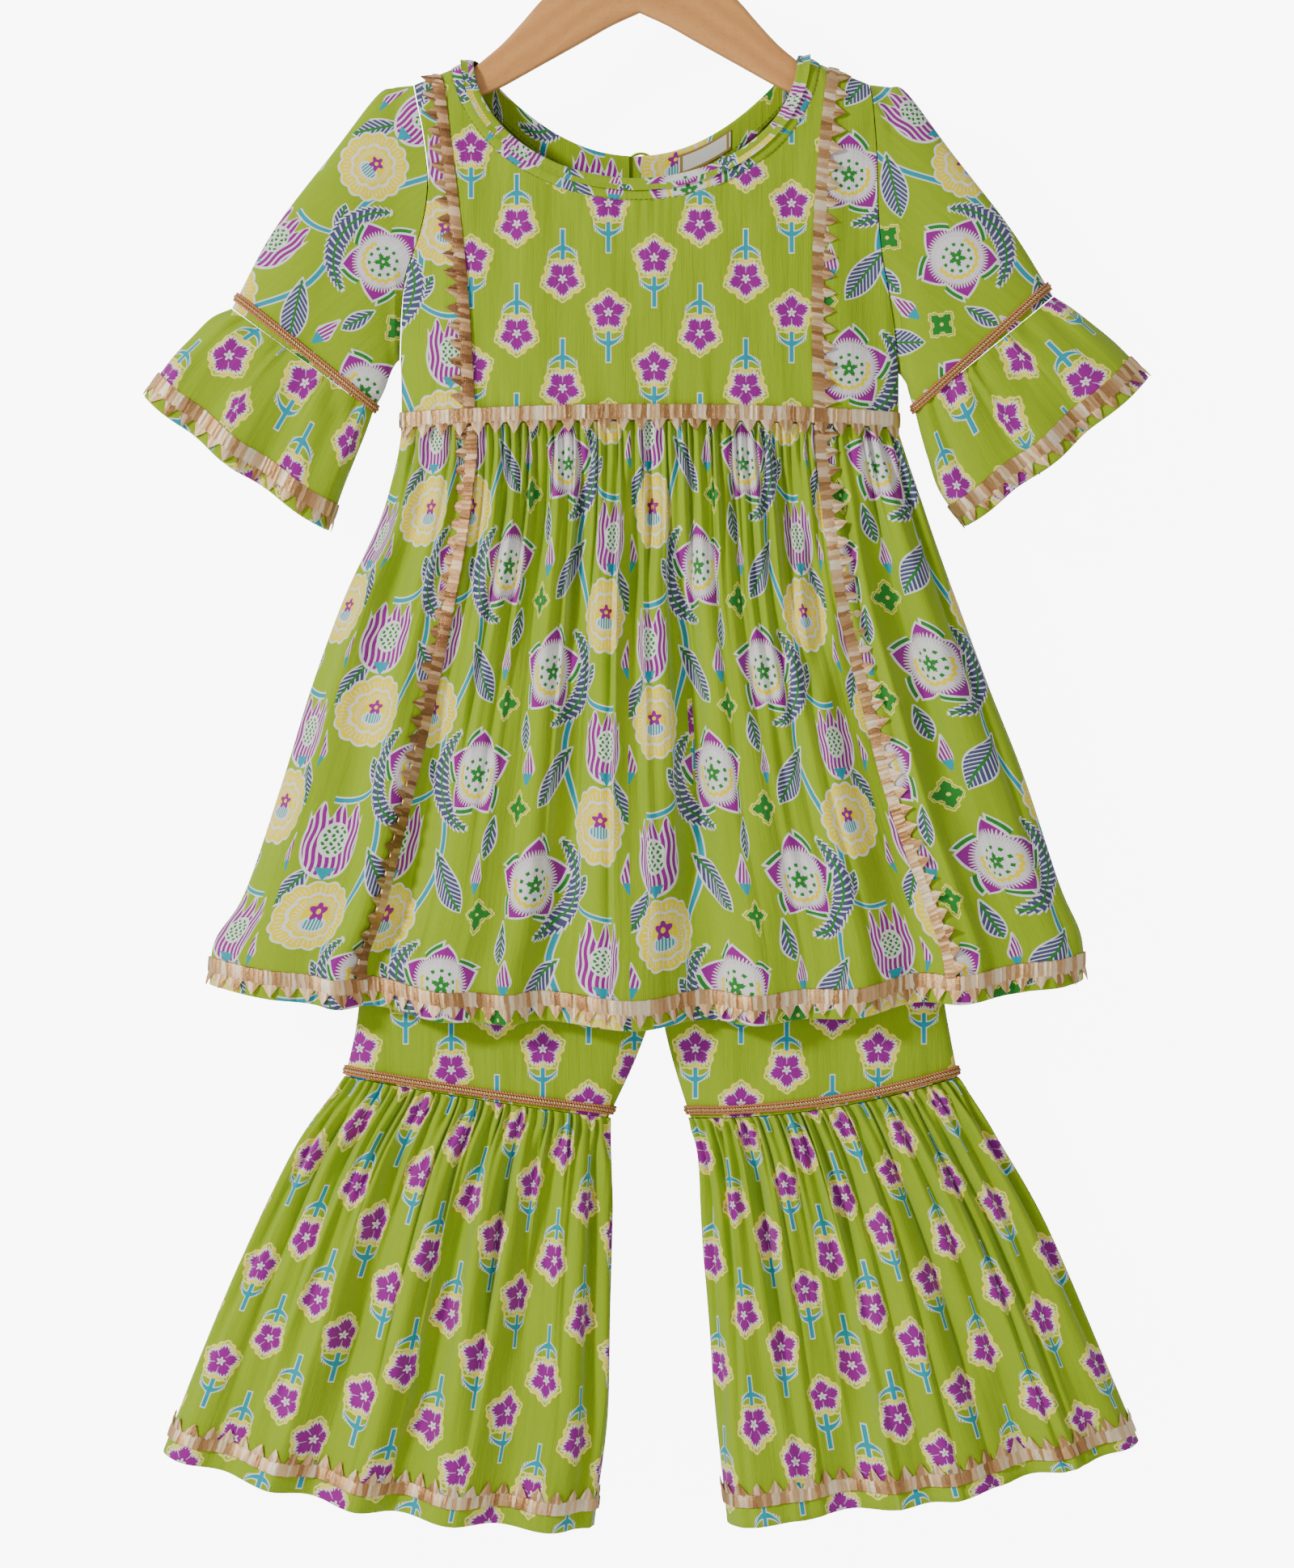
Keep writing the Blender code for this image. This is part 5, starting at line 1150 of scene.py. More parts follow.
def gathers(gather, count, below, seed, strength):
    """Heights of the gathers: crisp at the seam, each fading its own way into fewer, softer folds."""
    rng = np.random.default_rng(seed)
    edge = np.clip(np.minimum(gather, count - gather), 0.0, 1.0)
    marks = np.arange(int(count) + 3)
    height = np.interp(gather, marks, rng.uniform(0.55, 1.3, len(marks)))
    length = np.interp(gather, marks, rng.uniform(0.07, 0.30, len(marks)))
    wave = -1.0 + 2.0 * np.abs(np.cos(math.pi * gather)) ** 1.3
    start = 0.6 + 0.4 * np.clip(below / 0.03, 0.0, 1.0)
    total = height * wave * start * np.exp(-(below / length) ** 1.25) * 1.5
    for mean, low, grow, peak in ((2.1, 0.03, 0.12, 2.1), (4.6, 0.08, 0.30, 2.0)):
        bounds = np.concatenate([[0.0], np.cumsum(rng.uniform(0.65, 1.4, int(count / mean) + 6) * mean)])
        position = np.interp(gather, bounds, np.arange(len(bounds)))
        marks = np.arange(len(bounds))
        size = np.interp(position, marks, rng.uniform(0.25, 1.3, len(bounds)))
        last = np.interp(position, marks, rng.uniform(0.30, 1.15, len(bounds)))
        drift = np.interp(position, marks, rng.uniform(-0.5, 0.5, len(bounds))) * below
        shape = -1.0 + 2.0 * np.abs(np.cos(math.pi * (position + drift))) ** 1.2
        total = total + peak * size * shape * eased((below - low) / grow) * np.exp(-(below / last) ** 3)
    return total * edge * strength


Panel = namedtuple("Panel", "count width top foot")


def gathered_surface(table, folds, side, parts, rows, length, seed, strength=1.0, deep=(), settle=1.0):
    """A gathered side of a loop: parts gives each panel's gathers, flat width and edges by place."""
    places = (len(table) - 1) * np.linspace(0.0, 1.0, rows) ** 1.25
    middles = [((row.left + row.right) / 2, (row.left_drop + row.right_drop) / 2) for row in table]
    lengths = np.concatenate([[0.0], np.cumsum(np.hypot(*np.diff(np.array(middles), axis=0).T))])
    points, down = [], []
    across = []
    for place in places:
        section = row_between(table, place)
        run = float(np.interp(place, range(len(table)), lengths))
        below = run / lengths[-1]
        shares, heights, spots = [], [], []
        flat = 0.0
        for number, part in enumerate(parts):
            steps = part.count * GATHER_STEPS
            gather = np.linspace(0.0, part.count, steps + 1)
            low, high = part.top(place), part.foot(place)
            shares.append(mix(low, high, gather_share(gather, part.count)))
            heights.append(gathers(gather, part.count, np.full_like(gather, below * settle), seed + number, strength))
            spots.append(flat + gather / part.count * part.width)
            flat += part.width
        share = np.concatenate(shares)
        grown = eased((below - 0.05) / 0.95)
        large = fold_height(folds, share) * grown
        width = abs(section.right - section.left)
        small = np.concatenate(heights) + creases(deep, share, below, width)
        spot, normals, way = half_loop(section, side, share)
        points.append(spot + normals * (large + small)[:, None] + way * HEM_SAG * large[:, None])
        across.append(np.concatenate(spots))
        down.append(below * length)
    return Surface(np.array(points), np.array(across), np.array(down), side=side)


def whole(place):
    return 0.0


def end(place):
    return 1.0


# Lace, piping and stitches

def resampled(points, spacing):
    """Fractional places along a row of points, evenly spaced by length."""
    lengths = np.concatenate([[0.0], np.cumsum(np.linalg.norm(np.diff(points, axis=0), axis=1))])
    count = max(4, int(lengths[-1] / spacing))
    return np.interp(np.linspace(0.0, lengths[-1], count + 1), lengths, np.arange(len(points))), lengths[-1]


def smoothed(values, times):
    """Rows of vectors with small wiggles taken out, their ends kept."""
    for _ in range(times):
        inner = values[:-2] * 0.25 + values[1:-1] * 0.5 + values[2:] * 0.25
        values = np.concatenate([values[:1], inner, values[-1:]])
    return values


def unit(values):
    return values / (np.linalg.norm(values, axis=-1, keepdims=True) + 1e-9)


TRIANGLE_PITCH = 9.8
TRIANGLE_HEIGHT = 7.6
RIBBON_STEP = 0.82


def lace(name, points, normals, toward, nodes, width, material="ribbon", lift=0.9, tip_rise=0.9):
    """A crinkled ribbon along a line, with folded triangles along one edge.

    points run along the ribbon's middle, and toward points across it to the triangles."""
    spots, total = resampled(points, RIBBON_STEP)

    def read(values):
        low = np.minimum(spots.astype(int), len(values) - 2)
        return mix(values[low], values[low + 1], (spots - low)[:, None])

    middle = smoothed(read(points), 2)
    out = unit(smoothed(read(normals), 4))
    side = unit(smoothed(read(toward), 4))
    along = np.linspace(0.0, total, len(middle))
    rng = np.random.default_rng(len(name) + len(middle))
    vertices, faces, places = [], [], []
    cells = along / FACET
    tilt = rng.uniform(-1.0, 1.0, int(cells[-1]) + 3)[cells.astype(int)]
    ridge = 0.32 * (2.0 * np.abs((cells % 1.0) - 0.5)) + 0.20 * tilt * ((cells % 1.0) - 0.5) * 2
    shares = np.array([-0.5, -0.46, -0.25, 0.0, 0.25, 0.46, 0.5])
    crown = np.array([-0.55, 0.0, 0.12, 0.18, 0.12, 0.0, -0.55])
    waver = 0.25 * np.sin(along * 0.9 + 1.0) + 0.2 * rng.uniform(-1, 1, len(along))
    for share, rise in zip(shares, crown):
        flank = share * width + waver * share * 0.8
        vertices.append(middle + side * flank[:, None] + out * (lift + rise + ridge * (abs(share) < 0.48))[:, None])
        places.append(np.stack([along, np.full_like(along, share * width)], axis=1))
    steps = len(middle)
    points_all = np.concatenate(vertices)
    places_all = np.concatenate(places)
    faces = grid_faces(len(shares), steps).tolist()
    # Folded triangles, tucked under the ribbon's edge
    count = max(1, int(round(total / TRIANGLE_PITCH)))
    pitch = total / count
    extra, extra_places = [], []
    first = len(points_all)
    for number in range(count):
        centre = (number + 0.5) * pitch
        half = pitch * 0.5 * rng.uniform(0.86, 0.98)
        height = TRIANGLE_HEIGHT * rng.uniform(0.92, 1.06)
        sway = rng.uniform(-0.5, 0.5)
        base = width / 2 - 1.2
        outline = [(-half, 0.0, 0.10), (-half * 0.42, 0.0, 0.55), (0.0, 0.0, 0.25), (half * 0.42, 0.0, 0.60),
                   (half, 0.0, 0.10), (half * 0.50, height * 0.52, 0.35), (sway, height, 0.15),
                   (-half * 0.50, height * 0.52, 0.35), (sway * 0.4, height * 0.48, 0.80)]
        start = first + len(extra)
        for thickness in (0.0, -0.45):
            for shift, fall, rise in outline:
                spot = np.clip((centre + shift) / total * (steps - 1), 0, steps - 1.001)
                low = int(spot)
                part = spot - low
                anchor = mix(middle[low], middle[low + 1], part)
                point = anchor + mix(side[low], side[low + 1], part) * (base + fall)
                high = lift - 0.35 + rise + thickness + tip_rise * fall / height
                point = point + mix(out[low], out[low + 1], part) * high
                extra.append(point)
                extra_places.append((centre + shift * 1.6 + number * 3.3, fall))
        tops = [(0, 1, 8, 7), (1, 2, 8), (2, 3, 8), (3, 4, 5, 8), (8, 5, 6), (7, 8, 6)]
        for face in tops:
            faces.append(tuple(start + index for index in face))
            faces.append(tuple(start + 9 + index for index in reversed(face)))
        rim = [0, 1, 2, 3, 4, 5, 6, 7]
        for one, two in zip(rim, rim[1:] + rim[:1]):
            faces.append((start + two, start + one, start + 9 + one, start + 9 + two))
    points_all = np.concatenate([points_all, np.array(extra)])
    places_all = np.concatenate([places_all, np.array(extra_places)])
    thing = mesh_object(name, points_all, faces, places_all, material, 35.0)
    return show(thing, nodes)


def cord_tube(name, points, normals, toward, radius, material, twist=0.0, offset=0.0, lift=0.0):
    """A round cord laid beside a line on the cloth."""
    spots, total = resampled(points, 0.8)
    low = np.minimum(spots.astype(int), len(points) - 2)
    part = (spots - low)[:, None]
    middle = smoothed(mix(points[low], points[low + 1], part), 3)
    out = unit(smoothed(mix(normals[low], normals[low + 1], part), 5))
    side = unit(smoothed(mix(toward[low], toward[low + 1], part), 5))
    along = np.linspace(0.0, total, len(middle))
    sides = 8
    rings, places = [], []
    for step in range(sides + 1):
        angle = 2 * math.pi * step / sides
        size = radius * (1.0 + twist * np.sin(3 * angle - along * 2.4))
        rings.append(middle + side * (offset + size * math.cos(angle))[:, None]
                     + out * (lift + size * math.sin(angle))[:, None])
        places.append(np.stack([along, np.full_like(along, radius * angle)], axis=1))
    return mesh_object(name, np.concatenate(rings), grid_faces(sides + 1, len(middle)),
                       np.concatenate(places), material)


def braid_trim(name, points, normals, toward, nodes):
    """The braid over a gathered seam: two peach cords either side of a twisted gold one."""
    for number, (offset, radius, material, twist) in enumerate((
            (0.0, 1.05, "braid_gold", 0.22), (-1.75, 0.75, "braid_peach", 0.12), (1.75, 0.75, "braid_peach", 0.12))):
        thing = cord_tube(f"{name}_{number}", points, normals, toward, radius, material, twist, offset, 1.15)
        show(thing, nodes if number == 0 else ())


def stitches(name, points, normals, along_gap=2.6, length=1.9, radius=0.16, lift=0.15):
    """A line of topstitching: short raised threads."""
    spots, total = resampled(points, along_gap / 4)
    low = np.minimum(spots.astype(int), len(points) - 2)
    part = (spots - low)[:, None]
    middle = mix(points[low], points[low + 1], part)
    out = unit(mix(normals[low], normals[low + 1], part))
    vertices, faces, places = [], [], []
    share = length / along_gap
    for start in range(0, len(middle) - 4, 4):
        tip, tail = middle[start], mix(middle[start], middle[start + 4], share)
        way = unit(tail - tip)
        side = np.cross(way, out[start])
        first = len(vertices)
        for base, swell in ((tip, 0.4), (mix(tip, tail, 0.3), 1.0), (mix(tip, tail, 0.7), 1.0), (tail, 0.4)):
            for turn in range(4):
                angle = math.pi / 2 * turn
                vertices.append(base + (side * math.cos(angle) + out[start] * math.sin(angle)) * radius * swell
                                + out[start] * lift)
                places.append((start, turn))
        for ring in range(3):
            for turn in range(4):
                one, two = first + ring * 4 + turn, first + ring * 4 + (turn + 1) % 4
                faces.append((one, two, two + 4, one + 4))
    thing = mesh_object(name, np.array(vertices), faces, np.array(places, float), "thread")
    return show(thing)


def row_line(surface, distance_up):
    """A line across a surface at a distance above its foot, with normals and the way down."""
    down = surface.down[:, 0]
    row = np.interp(down[-1] - distance_up, down, np.arange(len(down)))
    lower = np.interp(down[-1] - distance_up + 3.0, down, np.arange(len(down)))
    steps = np.arange(0, surface.points.shape[1] - 1, 2).astype(float)
    points, normals = surface.at(np.full(len(steps), row), steps)
    below, _ = surface.at(np.full(len(steps), lower), steps)
    if lower >= len(down) - 1.01:
        above, _ = surface.at(np.full(len(steps), max(row - 3.0, 0)), steps)
        return points, normals, unit(points - above)
    return points, normals, unit(below - points)


# Pieces of the kurta

def kurta_bodice():
    left = front_side_surface(LEFT_ARMHOLE, LEFT_LACE, -1, -108.0)
    right = front_side_surface(RIGHT_ARMHOLE, RIGHT_LACE, 1, 103.0)
    left = Surface(left.points, left.across + 171.0, left.down + 12.0, outward=left.normals)
    right = Surface(right.points, right.across + 88.0, right.down + 70.0, outward=right.normals)
    centre = front_centre_surface()
    centre = Surface(centre.points, centre.across + 4.5, centre.down + 3.0, outward=centre.normals)
    cloth("cloth_bodice_side_left", left, "large", "bodice_front_side_left", ["hanger_arms"], foot=False)
    cloth("cloth_bodice_side_right", right, "large", "bodice_front_side_right", ["hanger_arms"], foot=False)
    cloth("cloth_bodice_centre", centre, "small", "bodice_front_centre", ["hanger_arms"], foot=False)
    band = neck_band_surface()
    cloth("cloth_neck_band", band, "large", "neck_band_front", ["hanger_arms"],
          foot=False, head=True)
    line = band.points.shape[0] - 2
    stitches("stitch_neck_band", band.points[line], band.normals[line])
    back = back_surface()
    back = Surface(back.points, back.across + 60.0, back.down + 20.0, outward=back.normals)
    cloth("cloth_bodice_back", back, "large", "bodice_back", ["hanger_arms"], foot=False)


def facing_surface(first, last, depth=FACING_WIDTH, start=0.3, lift=-1.7):
    share = np.linspace(first, last, 60)[None, :]
    extra = mix(start, depth, np.linspace(0.0, 1.0, 9))[:, None]
    x = NECK_CENTRE - NECK_HALF_WIDTH * np.cos(math.pi * share)
    across = np.abs((x - NECK_CENTRE) / NECK_HALF_WIDTH)
    drop = np.maximum(extra + BACK_NECK_DEPTH * (1.0 - across ** 2.05), shoulder_drop(x))
    x, drop = np.broadcast_arrays(x, drop)
    base = Surface(body_points(x, drop, BACK), share * 250.0 + 140.0, extra + 47.0, side=BACK)
    made = base.raised(np.full(x.shape, lift))
    return Surface(made.points, made.across, made.down, outward=-made.normals)


def back_neck():
    """The facing inside the back neckline, its stitch line, the label, and the button and loop."""
    for side, first, last in (("left", 0.06, 0.488), ("right", 0.512, 0.94)):
        facing = facing_surface(first, last)
        cloth("cloth_facing_" + side, facing, "large", "back_facing_" + side, ["cloth_bodice_back"], head=True)
        line = facing.points.shape[0] - 2
        stitches("stitch_facing_" + side, facing.points[line], facing.normals[line], radius=0.2)
    label = facing_surface(0.585, 0.70, 13.8, 3.0, -2.5)
    made = cloth("neck_label_tape", label, "tape", "neck_label", ["cloth_facing_right"],
                 foot=False)
    made.data.materials.append(MATERIALS["border"])
    rows, steps = label.points.shape[0] - 1, label.points.shape[1] - 1
    for number, face in enumerate(made.data.polygons):
        row, step = divmod(number, steps)
        if row in (0, rows - 1) or step in range(2, 5) or step in range(steps - 5, steps - 2):
            face.material_index = 1
    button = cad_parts["back_button"]
    button.data.materials.clear()
    button.data.materials.append(MATERIALS["button"])
    angle = np.linspace(-0.5, 4.2, 40)
    loop = np.stack([NECK_CENTRE + 3.0 + 6.5 * np.cos(angle), np.full(40, 16.4), level(56.0) + 5.4 * np.sin(angle)],
                    axis=1)
    flat_out = np.tile([0.0, 1.0, 0.0], (40, 1))
    side = unit(np.cross(np.gradient(loop, axis=0), flat_out))
    show(cord_tube("button_loop", loop, flat_out, side, 0.8, "ground"))


def vertical_lace(name, table, direction, top_x, nodes, material):
    """Lace down the bodice, its triangles towards the side."""
    top = float(shoulder_drop(top_x)) + 1.0
    drops = np.linspace(top, float(waist_drop(table[-1].x)) - LACE_WIDTH, 160)
    x = column(table, "x", drops)
    shift = 0.5
    points = body_points(x, drops, FRONT)
    beside = body_points(x + shift, drops + shift * 0.2, FRONT)
    lower = np.gradient(points, axis=0)
    across = unit(beside - points)
    normals = unit(np.cross(across, lower))
    normals *= np.sign((normals * np.array([0.0, -1.0, 0.35])).sum(axis=1, keepdims=True))
    lace(name, points, normals, across * direction, nodes, LACE_WIDTH * 0.8, material, lift=1.2)


def bodice_laces():
    # The left lace takes the ribbon painted in shade.
    vertical_lace("lace_bodice_left", LEFT_LACE, -1, -108.0, ["bodice_lace_left"], "ribbon_shaded")
    vertical_lace("lace_bodice_right", RIGHT_LACE, 1, 103.0, ["bodice_lace_right"], "ribbon")
    left, right = BODY[-1].centre - BODY[-1].half_width, BODY[-1].centre + BODY[-1].half_width
    across = (1 - np.cos(math.pi * np.linspace(0.0, 1.0, 260))) / 2
    x = mix(left + 0.4, right - 0.4, across)
    drop = waist_drop(x) - LACE_WIDTH / 2 - 0.3
    points = body_points(x, drop, FRONT)
    lower = body_points(x, drop + 1.0, FRONT)
    way = unit(lower - points)
    normals = unit(np.cross(np.gradient(points, axis=0), way))
    normals *= np.sign((normals * np.array([0.0, -1.0, 0.0]) + normals * points * 0.004).sum(axis=1, keepdims=True))
    lace("lace_waist", points, normals, way, ["waist_lace"], LACE_WIDTH, "ribbon", 1.7, 3.4)


SKIRT_FLAT = {"left": 92.0, "centre": 350.0, "right": 80.0, "back": 500.0}
SKIRT_LENGTH = 300.0


def skirt_share(place, name):
    return share_at(row_between(SKIRT, place), getattr(row_between(SKIRT_LACES, place), name))


def skirt():
    shares = {}
    for name in ("left", "right"):
        keys = np.linspace(0.0, len(SKIRT) - 1, 33)
        shares[name] = (keys, [skirt_share(key, name) for key in keys])

    def left_line(place):
        return float(np.interp(place, *shares["left"]))

    def right_line(place):
        return float(np.interp(place, *shares["right"]))

    parts = [Panel(SKIRT_GATHERS["left"], SKIRT_FLAT["left"], whole, left_line),
             Panel(SKIRT_GATHERS["centre"], SKIRT_FLAT["centre"], left_line, right_line),
             Panel(SKIRT_GATHERS["right"], SKIRT_FLAT["right"], right_line, end)]
    front = gathered_surface(SKIRT, SKIRT_FRONT_FOLDS, FRONT, parts, 118, SKIRT_LENGTH, 21, 1.75, SKIRT_CREASES)
    first = SKIRT_GATHERS["left"] * GATHER_STEPS + 1
    second = first + SKIRT_GATHERS["centre"] * GATHER_STEPS + 1
    for name, low, high, shift in (("side_left", 0, first, 55.0), ("centre", first, second, 12.0),
                                   ("side_right", second, front.points.shape[1], 66.0)):
        panel = Surface(front.points[:, low:high], front.across[:, low:high] + shift, front.down[:, low:high] + 8.0,
                        outward=front.normals[:, low:high])
        cloth("cloth_skirt_" + name, panel, "large", "skirt_front_" + name, ["cloth_bodice_centre"])
    back_parts = [Panel(SKIRT_GATHERS["back"], SKIRT_FLAT["back"], whole, end)]
    back = gathered_surface(SKIRT, SKIRT_BACK_FOLDS, BACK, back_parts, 90, SKIRT_LENGTH, 31, 1.2, BACK_CREASES)
    cloth("cloth_skirt_back", back, "large", "skirt_back", ["cloth_bodice_back"])
    hem_height = HEM_LACE_GAP + LACE_WIDTH / 2
    lace("lace_hem_front", *row_line(front, hem_height), ["hem_lace_front"], LACE_WIDTH, "ribbon", 0.9, 2.2)
    lace("lace_hem_back", *row_line(back, hem_height), ["hem_lace_back"], LACE_WIDTH, "ribbon", 0.9, 2.2)
    rows = np.linspace(0.4, np.interp(SKIRT_LENGTH - hem_height - 3.0, front.down[:, 0],
                                      np.arange(front.points.shape[0])), 240)
    # The left lace takes the ribbon painted in shade.
    for name, step, direction, material in (("left", first, -1, "ribbon_shaded"), ("right", second, 1, "ribbon")):
        points, normals = front.at(rows, np.full(len(rows), step - 0.5))
        points, normals = smoothed(points, 14), unit(smoothed(normals, 14))
        across = unit(np.cross(np.gradient(points, axis=0), normals))
        across *= np.sign(across[:, :1]) * direction
        lace("lace_skirt_" + name, points, normals, across, ["skirt_lace_" + name], LACE_WIDTH * 0.78, material,
             lift=1.6)


def ring_surface(front, back):
    """The front and back of a loop as one surface, round from the left edge and back to it."""
    points = np.concatenate([front.points, back.points[:, ::-1][:, 1:]], axis=1)
    width = front.across[:, -1:]
    across = np.concatenate([front.across, width + (back.across[:, -1:] - back.across[:, ::-1])[:, 1:]], axis=1)
    outward = np.concatenate([front.normals, back.normals[:, ::-1][:, 1:]], axis=1)
    down = np.concatenate([front.down, back.down[:, ::-1][:, 1:]], axis=1)
    return Surface(points, across, down, outward=outward)


RUFFLE_LENGTH = 62.0


def sleeve_half(sections, armhole, direction, bottom, side):
    """Front or back of a sleeve, from the armhole to the ruffle, across from its left edge."""
    steps, rows = 61, 70
    angle = (1 - np.cos(math.pi * np.linspace(0.0, 1.0, steps))) / 2
    drops = mix(armhole[0].drop, bottom.drop, angle)
    x = column(armhole, "x", drops) + direction * 0.5
    ring = body_points(x, np.maximum(drops, shoulder_drop(x)), side)
    ring[0, 1] = ring[-1, 1] = side * 0.15
    ring[-1, 0] = bottom.x
    if direction > 0:
        ring = ring[::-1]
    share = np.linspace(0.0, 1.0, steps)
    way = unit(np.array([direction * 0.78, 0.0, -0.63]))
    sideways = np.array([-way[2], 0.0, way[0]])
    grid = [ring]
    keys = np.linspace(0.0, len(sections) - 1, rows - 10)
    first, _, _ = half_loop(sections[0], side, share)
    for blend in np.linspace(0.0, 1.0, 10, endpoint=False)[1:]:
        grid.append(mix(ring, first, blend))
    for key in keys:
        grid.append(half_loop(row_between(sections, key), side, share)[0])
    points = np.array(grid)
    base = Surface(points, points @ sideways, points @ way, side=side)
    run = np.linspace(0.0, 1.0, len(points))[:, None]
    place = share[None, :]
    edge = np.clip(np.minimum(place, 1 - place) * 6, 0.0, 1.0)
    heights = 1.0 * soft_waves(place * 140 + 20, run * 110, 7 + direction + side, 44.0, 40.0) * edge
    top = place if direction < 0 else 1 - place
    cap = np.exp(-(run / 0.10) ** 2) * np.exp(-(top / 0.22) ** 2)
    heights = heights + 0.8 * cap * np.cos(place * 2 * math.pi * 26)
    return base.raised(heights * edge * np.clip(run * 12, 0.0, 1.0))


def ruffle_half(table, side, count, seed):
    parts = [Panel(count, 150.0, whole, end)]
    return gathered_surface(table, RUFFLE_FOLDS, side, parts, 56, RUFFLE_LENGTH, seed, 0.85, (), 0.6)


def sleeve(name, sections, table, armhole, direction, bottom, seed):
    front = sleeve_half(sections, armhole, direction, bottom, FRONT)
    back = sleeve_half(sections, armhole, direction, bottom, BACK)
    tube = ring_surface(front, back)
    tube = Surface(tube.points, tube.across + seed * 11.0, tube.down + seed * 7.0, outward=tube.normals)
    cloth("cloth_sleeve_" + name, tube, "large", "sleeve_" + name, ["cloth_bodice_side_" + name], foot=False)
    ruffle_front = ruffle_half(table, FRONT, RUFFLE_GATHERS["front"], seed)
    ruffle_back = ruffle_half(table, BACK, RUFFLE_GATHERS["back"] + 2, seed + 3)
    tube = ring_surface(ruffle_front, ruffle_back)
    tube = Surface(tube.points, tube.across + seed * 5.0, tube.down + seed * 9.0, outward=tube.normals)
    cloth("cloth_ruffle_" + name, tube, "small", "sleeve_ruffle_" + name, ["cloth_sleeve_" + name])
    lace("lace_sleeve_" + name, *row_line(tube, RUFFLE_LACE_GAP + LACE_WIDTH / 2), ["sleeve_lace_" + name],
         LACE_WIDTH)
    line = np.concatenate([front.points[-3], back.points[-3, ::-1][1:]])
    normals = np.concatenate([front.normals[-3], back.normals[-3, ::-1][1:]])
    above = np.concatenate([front.points[-6], back.points[-6, ::-1][1:]])
    braid_trim("braid_sleeve_" + name, line, normals, unit(line - above), ["sleeve_piping_" + name])


# The gharara

def thigh_surface(table, side, seed):
    rows, steps = 110, 64
    grid = []
    across = (1 - np.cos(math.pi * np.linspace(0.0, 1.0, steps))) / 2
    direction = 1 if table[0].outer < table[0].inner else -1
    for place in np.linspace(0.0, len(table) - 1, rows):
        row = row_between(table, place)
        bulge = mix(flattened(1 - across), flattened(2 * across - 1), np.clip(row.closing, 0.0, 1.0))
        x = mix(row.outer, row.inner - direction * (0.15 + 0.9 * row.closing), across)
        drop = mix(row.outer_drop, row.inner_drop, across) + row.bow * 4 * across * (1 - across)
        grid.append(np.stack([x, side * (SEAM / 2 + row.depth * bulge), level(drop)], axis=1))
    points = np.array(grid)
    if direction < 0:
        points = points[:, ::-1]
    down = -points[..., 2] - HOOK_TO_SHOULDER
    base = Surface(points, points[..., 0], down, side=side)
    edge = np.clip(np.minimum(across, 1 - across) * 12, 0.0, 1.0)[None, :]
    return base.raised(1.1 * soft_waves(points[..., 0], down, seed, 38.0, 50.0) * edge)


FLARE_FLAT = 300.0
FLARE_LENGTH = 218.0


def leg(name, thigh_table, flare_table, folds, deep, seed):
    thigh_lines = {}
    for side, word in ((FRONT, "front"), (BACK, "back")):
        surface = thigh_surface(thigh_table, side, seed)
        surface = Surface(surface.points, surface.across + seed * 3.3, surface.down + 20.0, outward=surface.normals)
        thigh_lines[word] = surface
        node = ("thigh_" + word + "_" + name,)
        cloth("cloth_thigh_" + word + "_" + name, surface, "small", node, ["waistband_cloth"], foot=False)
        count = FLARE_GATHERS[name] if side == FRONT else FLARE_GATHERS["back"] + 4
        parts = [Panel(count, FLARE_FLAT, whole, end)]
        flare = gathered_surface(flare_table, folds if side == FRONT else FLARE_BACK_FOLDS, side, parts, 96,
                                 FLARE_LENGTH, seed + side, 1.75, deep if side == FRONT else BACK_CREASES)
        flare = Surface(flare.points, flare.across + seed * 7.1, flare.down + 11.0, outward=flare.normals)
        cloth("cloth_flare_" + word + "_" + name, flare, "small", "flare_" + word + "_" + name,
              ["cloth_thigh_" + word + "_" + name])
        points, normals, way = row_line(flare, LEG_LACE_GAP + LACE_WIDTH / 2)
        lace("lace_leg_" + word + "_" + name, points, normals, -way, ["leg_lace_" + word + "_" + name],
             LACE_WIDTH * 0.85)
    front, back = thigh_lines["front"], thigh_lines["back"]
    line = np.concatenate([front.points[-3], back.points[-3, ::-1][1:]])
    normals = np.concatenate([front.normals[-3], back.normals[-3, ::-1][1:]])
    above = np.concatenate([front.points[-8], back.points[-8, ::-1][1:]])
    braid_trim("braid_knee_" + name, line, normals, unit(line - above), ["knee_piping_" + name])
    return line


def waistband():
    top = Section(-96.0, WAISTBAND_DROP, 104.0, WAISTBAND_DROP, 12.0, 0.0)
    share = np.linspace(0.0, 1.0, 81)
    halves = []
    for side in (FRONT, BACK):
        rows = []
        for down in np.linspace(0.0, WAISTBAND_HEIGHT, 12):
            section = top._replace(left_drop=WAISTBAND_DROP + down, right_drop=WAISTBAND_DROP + down)
            rows.append(half_loop(section, side, share)[0])
        base = Surface(np.array(rows), share * 210.0, np.linspace(0.0, WAISTBAND_HEIGHT, 12), side=side)
        halves.append(base.raised(0.5 * np.cos(share * 2 * math.pi * 34)[None, :] * np.ones((12, 1))))
    ring = ring_surface(*halves)
    cloth("waistband_cloth", ring, "small", "waistband", ["hanger_loop_left", "hanger_loop_right"], foot=False)


# The hanger

